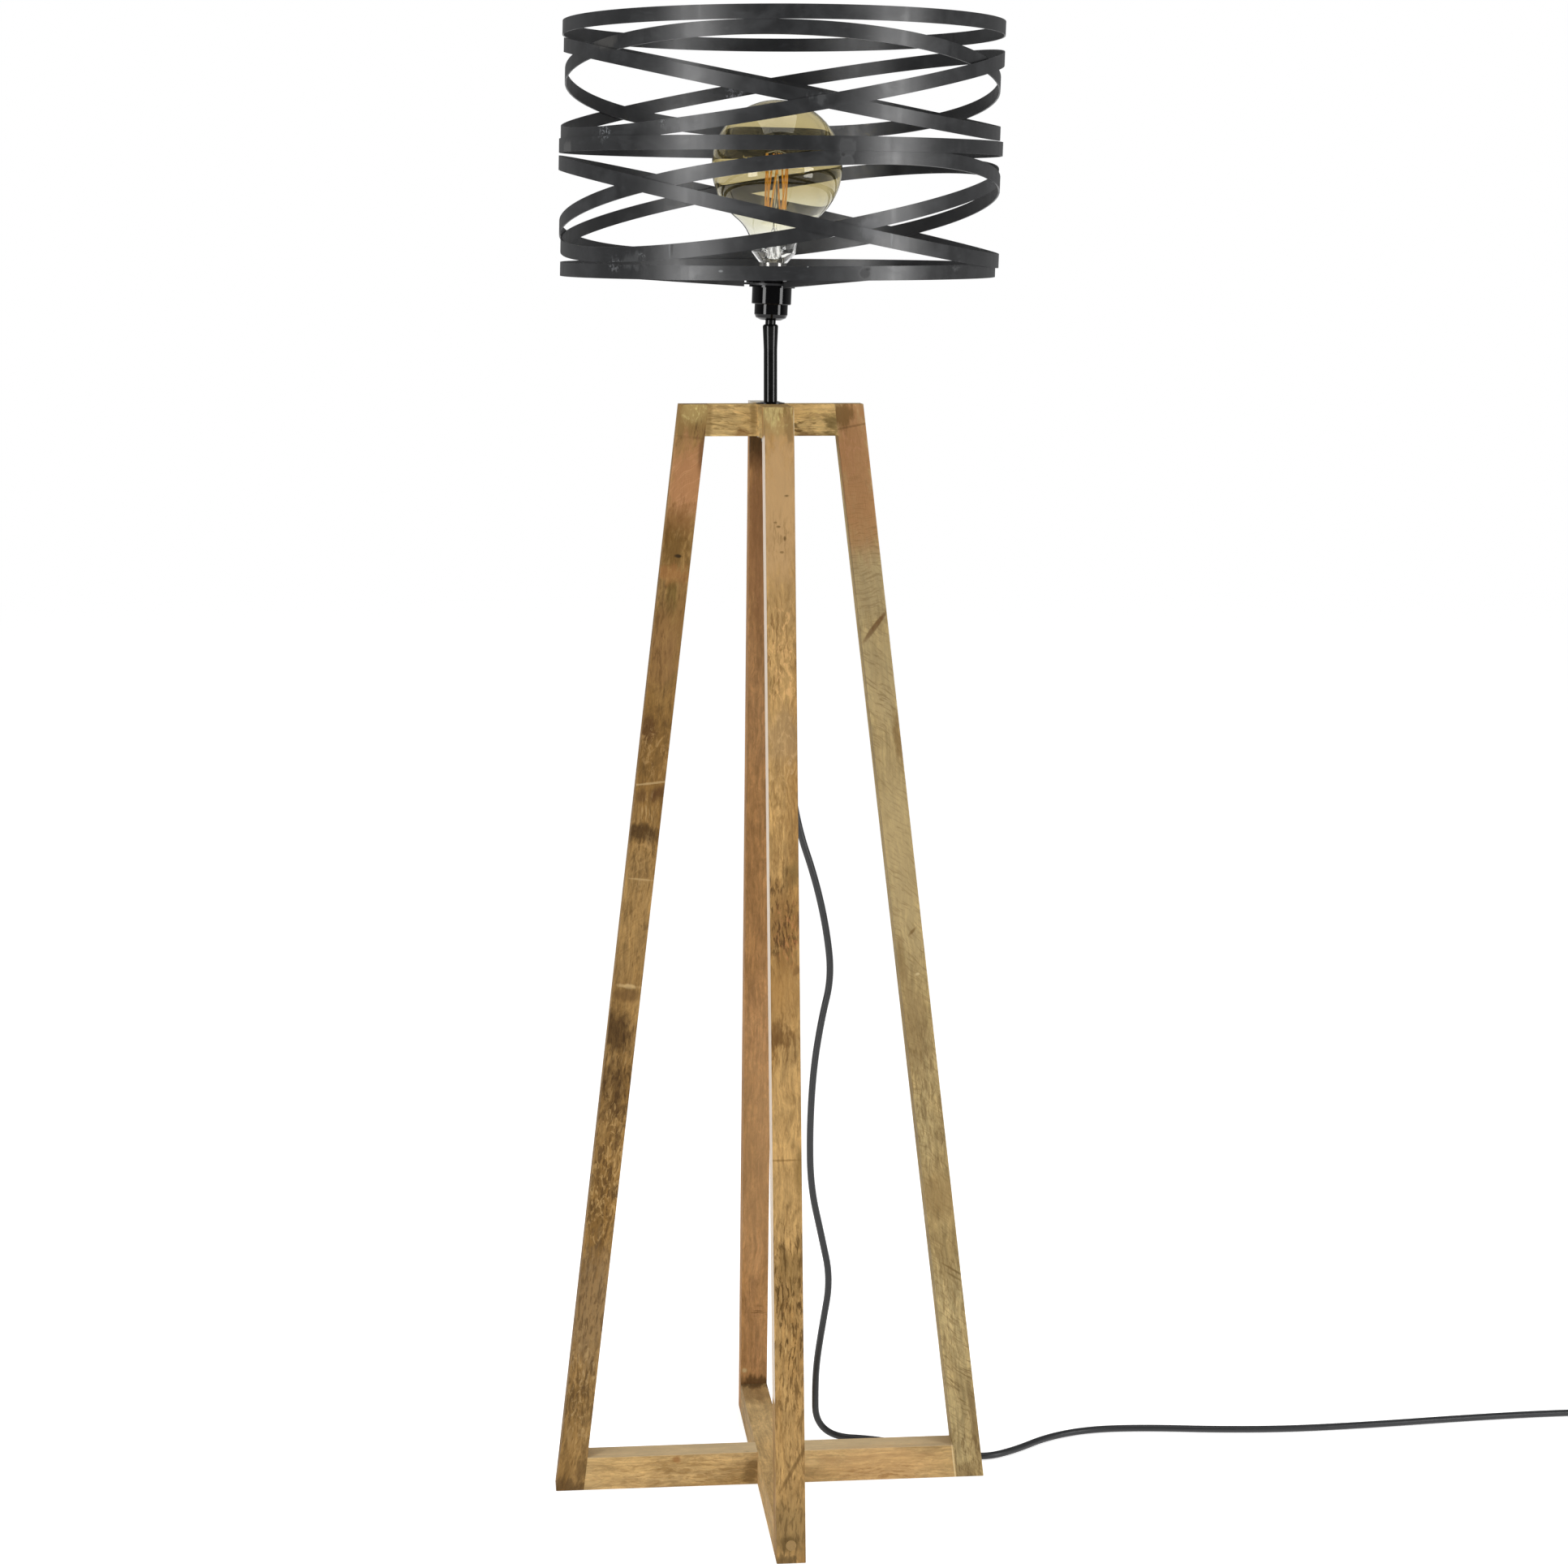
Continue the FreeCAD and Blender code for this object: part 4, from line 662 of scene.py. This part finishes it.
def makeWood(name, values):
    material, tree, shader = newMaterial(name + "Wood")
    place = grainMapping(tree, values)
    elsewhere = [random.uniform(1, 9) for axis in range(3)]  # each piece is cut from another plank
    grain = useGroup(tree, woodGrain, Vector=vectorMaths(tree, "ADD", place, elsewhere),
                     Light=srgb(*values["light"]), Middle=srgb(*values["middle"]), Dark=srgb(*values["dark"]),
                     Figure=values["figure"], Pores=values["pores"], Hatching=values["hatching"])
    color = grain["Color"]
    for mark in values["marks"]:
        share = stainAndLightMask(tree, place, mark)
        if mark["pattern"]:
            share = maths(tree, "MULTIPLY", share, grain[mark["pattern"]])
        color = blendColors(tree, "MIX", share, color, srgb(*mark["color"]))
    if "paintedLitSide" in values:
        color = paintLitSide(tree, place, color, values["paintedLitSide"])
    tree.links.new(color, shader.inputs["Base Color"])
    tree.links.new(grain["Roughness"], shader.inputs["Roughness"])
    setPlain(shader, Specular_IOR_Level=woodSurface["specular"])
    bumped(tree, shader, grain["Height"], woodSurface["bump"], woodSurface["bumpDepth"])
    return material


woodGrain = makeWoodGrain()
for woodName, values in wood.items():
    dress([woodName], makeWood(woodName, values))
print("wood finished")


# blackened steel

steelSurface = {"gloss": 0.37, "specular": 0.67, "bump": 0.14, "bumpDepth": 0.0003, "speckHeight": 6.0,
                "markRoughness": 0.12, "unevenness": (0.35, 0.65, -0.04, 0.07)}
# each noise of the steel: its scale, detail, roughness and distortion
steelNoise = {
    "cloud": ((26, 26, 34), 5.0, 0.62, 0.6),
    "bands": ((90, 90, 7), 2.0, 0.5, 0.0),
    "grit": ((900, 900, 900), 2.0, 0.5, 0.0),
    "scuff": ((50, 50, 160), 3.0, 0.6, 0.4),
    "speckle": ((340, 340, 340), 4.0, 0.68, 0.8),
}
# where the noises that wear and speck the steel set in, and each noise's share in its roughness and height
steelWear = {"cloud": (0.44, 0.70), "scuff": (0.60, 0.74)}
steelSpecks = (0.50, 0.60)
steelRough = {"cloud": 0.6, "bands": 0.4}
steelHeight = {"bands": 0.5, "cloud": 1.0, "grit": 0.03}

# weld spots, ground patches and butt seams on the hoops, and one painted glint, placed in the lamp's own
# directions
weldMarksAndGlint = [
    stainAndLightMark((191.8, 106.5, 1448), (2.4, 2.4, 10), (10, 10, 10), 0.9),
    stainAndLightMark((189.9, 108.7, 1431), (6, 8, 3), (12, 12, 12), 0.8),
    stainAndLightMark((-160, -113, 1424), (17, 20, 9), (70, 68, 65), 0.6, ragged=0.5),
    stainAndLightMark((-155, -118, 1416), (14, 16, 2.2), (12, 12, 12), 0.7, ragged=0.5),
    stainAndLightMark((-15.8, 205.7, 1396), (13, 6, 8), (112, 114, 118), 0.8, "Specks"),
    stainAndLightMark((-113, -171, 1350), (5, 5, 6), (104, 106, 108), 0.7, "Specks"),
    stainAndLightMark((-106, -176, 1348), (13, 9, 6), (70, 71, 72), 0.5, ragged=0.9),
    stainAndLightMark((-163.4, -119.6, 1341), (8, 9, 8), (132, 136, 140), 0.8, "Specks"),
    stainAndLightMark((-165, -118, 1337), (5, 6, 4), (10, 10, 10), 0.7, ragged=0.9),
    stainAndLightMark((-195, -52, 1330), (8, 18, 9), (80, 80, 79), 0.65, soft=0.2),
    stainAndLightMark((-155, -132, 1223), (9, 10, 8), (112, 114, 116), 0.7, "Specks"),
    stainAndLightMark((-140, -148, 1226), (16, 14, 8), (64, 65, 66), 0.5, ragged=0.9),
    stainAndLightMark((-132, -156, 1230), (5, 5, 4), (96, 98, 100), 0.6, "Specks"),
    stainAndLightMark((-107.9, -174.6, 1240), (1.2, 1.2, 12), (92, 94, 96), 0.6, ragged=0.1),
    stainAndLightMark((-106, -176, 1240), (1.6, 1.6, 12), (10, 10, 10), 0.8, ragged=0.1),
    stainAndLightMark((48, -207, 1326), (11, 8, 11), (58, 59, 60), 0.6, ragged=0.2, soft=0.15),
    stainAndLightMark((48, -207, 1326), (9, 8, 9), (34, 35, 36), 0.7, ragged=0.2, soft=0.2),
    stainAndLightMark((50, -207, 1314), (8, 8, 7), (60, 61, 62), 0.6, ragged=0.3, soft=0.15),
    stainAndLightMark((50, -207, 1314), (6.4, 8, 5.4), (36, 37, 38), 0.7, soft=0.2),
    stainAndLightMark((45.7, -207.9, 1320), (2, 4, 2), (4, 4, 4), 1.0, ragged=0.1),
    stainAndLightMark((66.9, -200.5, 1215), (9, 8, 8), (62, 62, 62), 0.6, ragged=0.4, soft=0.15),
    stainAndLightMark((66.9, -200.5, 1215), (6.5, 8, 5.5), (34, 34, 35), 0.8, soft=0.2),
    stainAndLightMark((70, -200, 1219), (3, 6, 1.6), (10, 10, 10), 0.8, ragged=0.2),
    stainAndLightMark((-63.4, -197, 1217), (2.2, 4, 1.1), (116, 118, 120), 0.8, ragged=0.1),
    # painted glint on the foot hoop's lower edge
    stainAndLightMark((14, -206, 1221), (1.1, 4, 1.4), (190, 192, 194), 0.9, ragged=0.1),
    stainAndLightMark((74, -202, 1256), (16, 10, 11), (86, 87, 89), 0.7, ragged=0.2, soft=0.25),
    stainAndLightMark((91.5, -195, 1251), (1.3, 3, 13), (118, 120, 122), 0.7, ragged=0.1),
    stainAndLightMark((94, -194, 1257), (2.4, 4, 2), (8, 8, 8), 0.8, ragged=0.2),
    stainAndLightMark((158, -144.6, 1223), (9, 9, 5), (78, 79, 80), 0.7, "Specks"),
    stainAndLightMark((172, -116, 1385), (4, 6, 5), (92, 93, 95), 0.6, ragged=0.8),
    stainAndLightMark((84, 189, 1366), (12, 8, 8), (82, 83, 85), 0.6, ragged=0.3, soft=0.15),
    stainAndLightMark((156, 138, 1268), (12, 12, 5), (10, 10, 10), 0.7, ragged=0.9),
    stainAndLightMark((24, -210, 1369), (9, 6, 6), (64, 65, 66), 0.6, ragged=0.9)]
steels = {
    "hoopSteel": {
        "base": (20, 21, 23), "worn": (40, 41, 43), "wear": 0.7, "marks": weldMarksAndGlint,
        "pieces": [name for name in nodes if name.startswith("hoop_")]},
    "spokeSteel": {
        "base": (18, 18, 19), "worn": (36, 36, 38), "wear": 0.5, "marks": [],
        "pieces": ["spoke_left", "spoke_front", "spoke_back", "hub_plate"]},
}


def summed(tree, waves, shares):
    total = 0.0
    for name, share in shares.items():
        total = maths(tree, "ADD", total, maths(tree, "MULTIPLY", waves[name], share))
    return total


def makeSteelMottle():
    tree, given, result = newGroup("steelMottle", {
        "Vector": (0, 0, 0), "Base": (0.03, 0.03, 0.03, 1), "Worn": (0.08, 0.08, 0.08, 1), "Wear": 0.5,
        "Gloss": 0.3}, ["Color", "Roughness", "Height", "Specks"])
    waves = {}
    for name, texture in steelNoise.items():
        waves[name] = noise(tree, given["Vector"], *texture)
    color = given["Base"]
    for name, stretch in steelWear.items():
        mask = maths(tree, "MULTIPLY", remap(tree, waves[name], *stretch), given["Wear"])
        color = blendColors(tree, "MIX", mask, color, given["Worn"])
    tree.links.new(color, result["Color"])
    uneven = remap(tree, summed(tree, waves, steelRough), *steelSurface["unevenness"])
    tree.links.new(maths(tree, "ADD", given["Gloss"], uneven), result["Roughness"])
    tree.links.new(summed(tree, waves, steelHeight), result["Height"])
    tree.links.new(remap(tree, waves["speckle"], *steelSpecks), result["Specks"])
    return tree


def makeSteel(name, values):
    material, tree, shader = newMaterial(name)
    place = objectPlace(tree)
    mottle = useGroup(tree, steelMottle, Vector=place, Base=srgb(*values["base"]), Worn=srgb(*values["worn"]),
                      Wear=values["wear"], Gloss=steelSurface["gloss"])
    color = mottle["Color"]
    rough = mottle["Roughness"]
    height = mottle["Height"]
    for mark in values["marks"]:
        share = stainAndLightMask(tree, place, mark)
        if mark["pattern"]:
            share = maths(tree, "MULTIPLY", share, mottle[mark["pattern"]])
            height = maths(tree, "ADD", height, maths(tree, "MULTIPLY", share, steelSurface["speckHeight"]))
        color = blendColors(tree, "MIX", share, color, srgb(*mark["color"]))
        rough = maths(tree, "ADD", rough, maths(tree, "MULTIPLY", share, steelSurface["markRoughness"]))
    tree.links.new(color, shader.inputs["Base Color"])
    tree.links.new(rough, shader.inputs["Roughness"])
    setPlain(shader, Specular_IOR_Level=steelSurface["specular"])
    bumped(tree, shader, height, steelSurface["bump"], steelSurface["bumpDepth"])
    return material


steelMottle = makeSteelMottle()
for steelName, values in steels.items():
    dress(values["pieces"], makeSteel(steelName, values))
print("steel finished")


# the finely grained finishes of holder, stem, cord, plug and small metal parts

# grain is in waves per metre, and metal is given only for bare metal
finishes = {
    "holderBlack": {
        "color": (6, 6, 7), "roughness": 0.08, "specular": 0.28, "grain": 160, "bump": 0.004,
        "pieces": ["holder_cap", "holder_shell", "shade_ring", "cord_gland"]},
    "stemBlack": {
        "color": (10, 10, 10), "roughness": 0.15, "specular": 0.28, "grain": 160, "bump": 0.004,
        "pieces": ["stem_flange", "stem_tube", "stem_bush", "holder_neck"]},
    "cordBlack": {
        "color": (36, 37, 39), "roughness": 0.42, "grain": 1400, "bump": 0.08,
        "pieces": []},
    "plugBlack": {
        "color": (34, 34, 36), "roughness": 0.5, "grain": 1600, "bump": 0.2,
        "pieces": ["bulb_base", "plug_boot", "plug_body"]},
    "zincPlate": {
        "color": (176, 178, 180), "roughness": 0.35, "grain": 300, "bump": 0.05, "metal": 1.0,
        "pieces": ["threaded_nipple", "clamp_washer", "lock_nut", "foot_screws", "bulb_tip",
                   "filament_wires"]},
    "brassSheet": {
        "color": (206, 176, 110), "roughness": 0.25, "grain": 300, "bump": 0.03, "metal": 1.0,
        "pieces": ["thread_shell", "terminal_screws", "contact_tongue"]},
    "nickelPlate": {
        "color": (208, 206, 202), "roughness": 0.16, "grain": 300, "bump": 0.02, "metal": 1.0,
        "pieces": ["bulb_cap", "plug_pins"]},
    "porcelain": {
        "color": (214, 210, 202), "roughness": 0.45, "grain": 400, "bump": 0.05,
        "pieces": ["holder_insert"]},
    "phosphorRod": {
        "color": (246, 178, 66), "roughness": 0.5, "grain": 500, "bump": 0.1,
        "pieces": ["bulb_filaments"]},
    "plugWood": {
        "color": (148, 118, 70), "roughness": 0.7, "grain": 700, "bump": 0.3,
        "pieces": ["foot_plugs", "head_dowels"]},
}
# how the grain varies the shade and, as shares of its value, the roughness
finishGrain = {"shade": (0.3, 0.7, 0.9, 1.1), "roughness": (0.2, 0.8), "shares": (0.85, 1.15)}
finishSurface = {"specular": 0.5, "metal": 0.0, "bumpDepth": 0.0002}


def makeFinish(name, values):
    material, tree, shader = newMaterial(name)
    speck = noise(tree, objectPlace(tree), (values["grain"],) * 3)
    color = shaded(tree, srgb(*values["color"]), remap(tree, speck, *finishGrain["shade"]))
    tree.links.new(color, shader.inputs["Base Color"])
    limits = [values["roughness"] * share for share in finishGrain["shares"]]
    rough = remap(tree, speck, *finishGrain["roughness"], *limits)
    tree.links.new(rough, shader.inputs["Roughness"])
    surface = {**finishSurface, **values}
    setPlain(shader, Metallic=surface["metal"], Specular_IOR_Level=surface["specular"])
    bumped(tree, shader, speck, surface["bump"], surface["bumpDepth"])
    return material


for finishName, values in finishes.items():
    finish = makeFinish(finishName, values)
    dress(values["pieces"], finish)
    if finishName == "cordBlack":
        lead.data.materials.append(finish)
print("black, metal and porcelain finished")


# glass of the bulb

# heights are in metres above the floor
glass = {
    "ior": 1.34,
    "amber": (0.68, 0.62, 0.425, 1), "pale": (0.83, 0.82, 0.71, 1), "clear": (0.97, 0.97, 0.96, 1),
    "clearToPale": (1.243, 1.262), "paleToAmber": (1.262, 1.300),
    "wisps": ((14, 14, 30), 3.0, 0.6), "wispReach": 0.03,
    "mount": (0.95, 0.95, 0.94, 1), "mountBright": (0.96, 0.96, 0.95, 1), "mountDark": (0.30, 0.30, 0.29, 1),
    "mountLines": ((520, 520, 16), 2.0, 0.6), "lineEdges": (0.47, 0.56),
}


# the plain colour shows only where the nodes that feed Base Color aren't read
def makeGlass(name, color):
    material, tree, shader = newMaterial(name)
    setPlain(shader, Base_Color=color, Roughness=0.0, IOR=glass["ior"], Transmission_Weight=1.0)
    return material, tree, shader


# the amber fades out towards the neck, which is clear
def glazeBulb():
    material, tree, shader = makeGlass("amberGlass", glass["amber"])
    place = objectPlace(tree)
    wisps = maths(tree, "SUBTRACT", noise(tree, place, *glass["wisps"]), 0.5)
    level = maths(tree, "ADD", parted(tree, place)["Z"], maths(tree, "MULTIPLY", wisps, glass["wispReach"]))
    paler = blendColors(tree, "MIX", remap(tree, level, *glass["clearToPale"]), glass["clear"], glass["pale"])
    amber = blendColors(tree, "MIX", remap(tree, level, *glass["paleToAmber"]), paler, glass["amber"])
    tree.links.new(amber, shader.inputs["Base Color"])
    dress(["bulb_glass"], material)


# the drawn glass of the mount shows fine upright lines
def glazeMount():
    material, tree, shader = makeGlass("clearGlass", glass["mount"])
    lines = remap(tree, noise(tree, objectPlace(tree), *glass["mountLines"]), *glass["lineEdges"])
    streak = blendColors(tree, "MIX", lines, glass["mountBright"], glass["mountDark"])
    tree.links.new(streak, shader.inputs["Base Color"])
    dress(["bulb_mount"], material)


glazeBulb()
glazeMount()
print("glass finished")

bpy.context.view_layer.update()
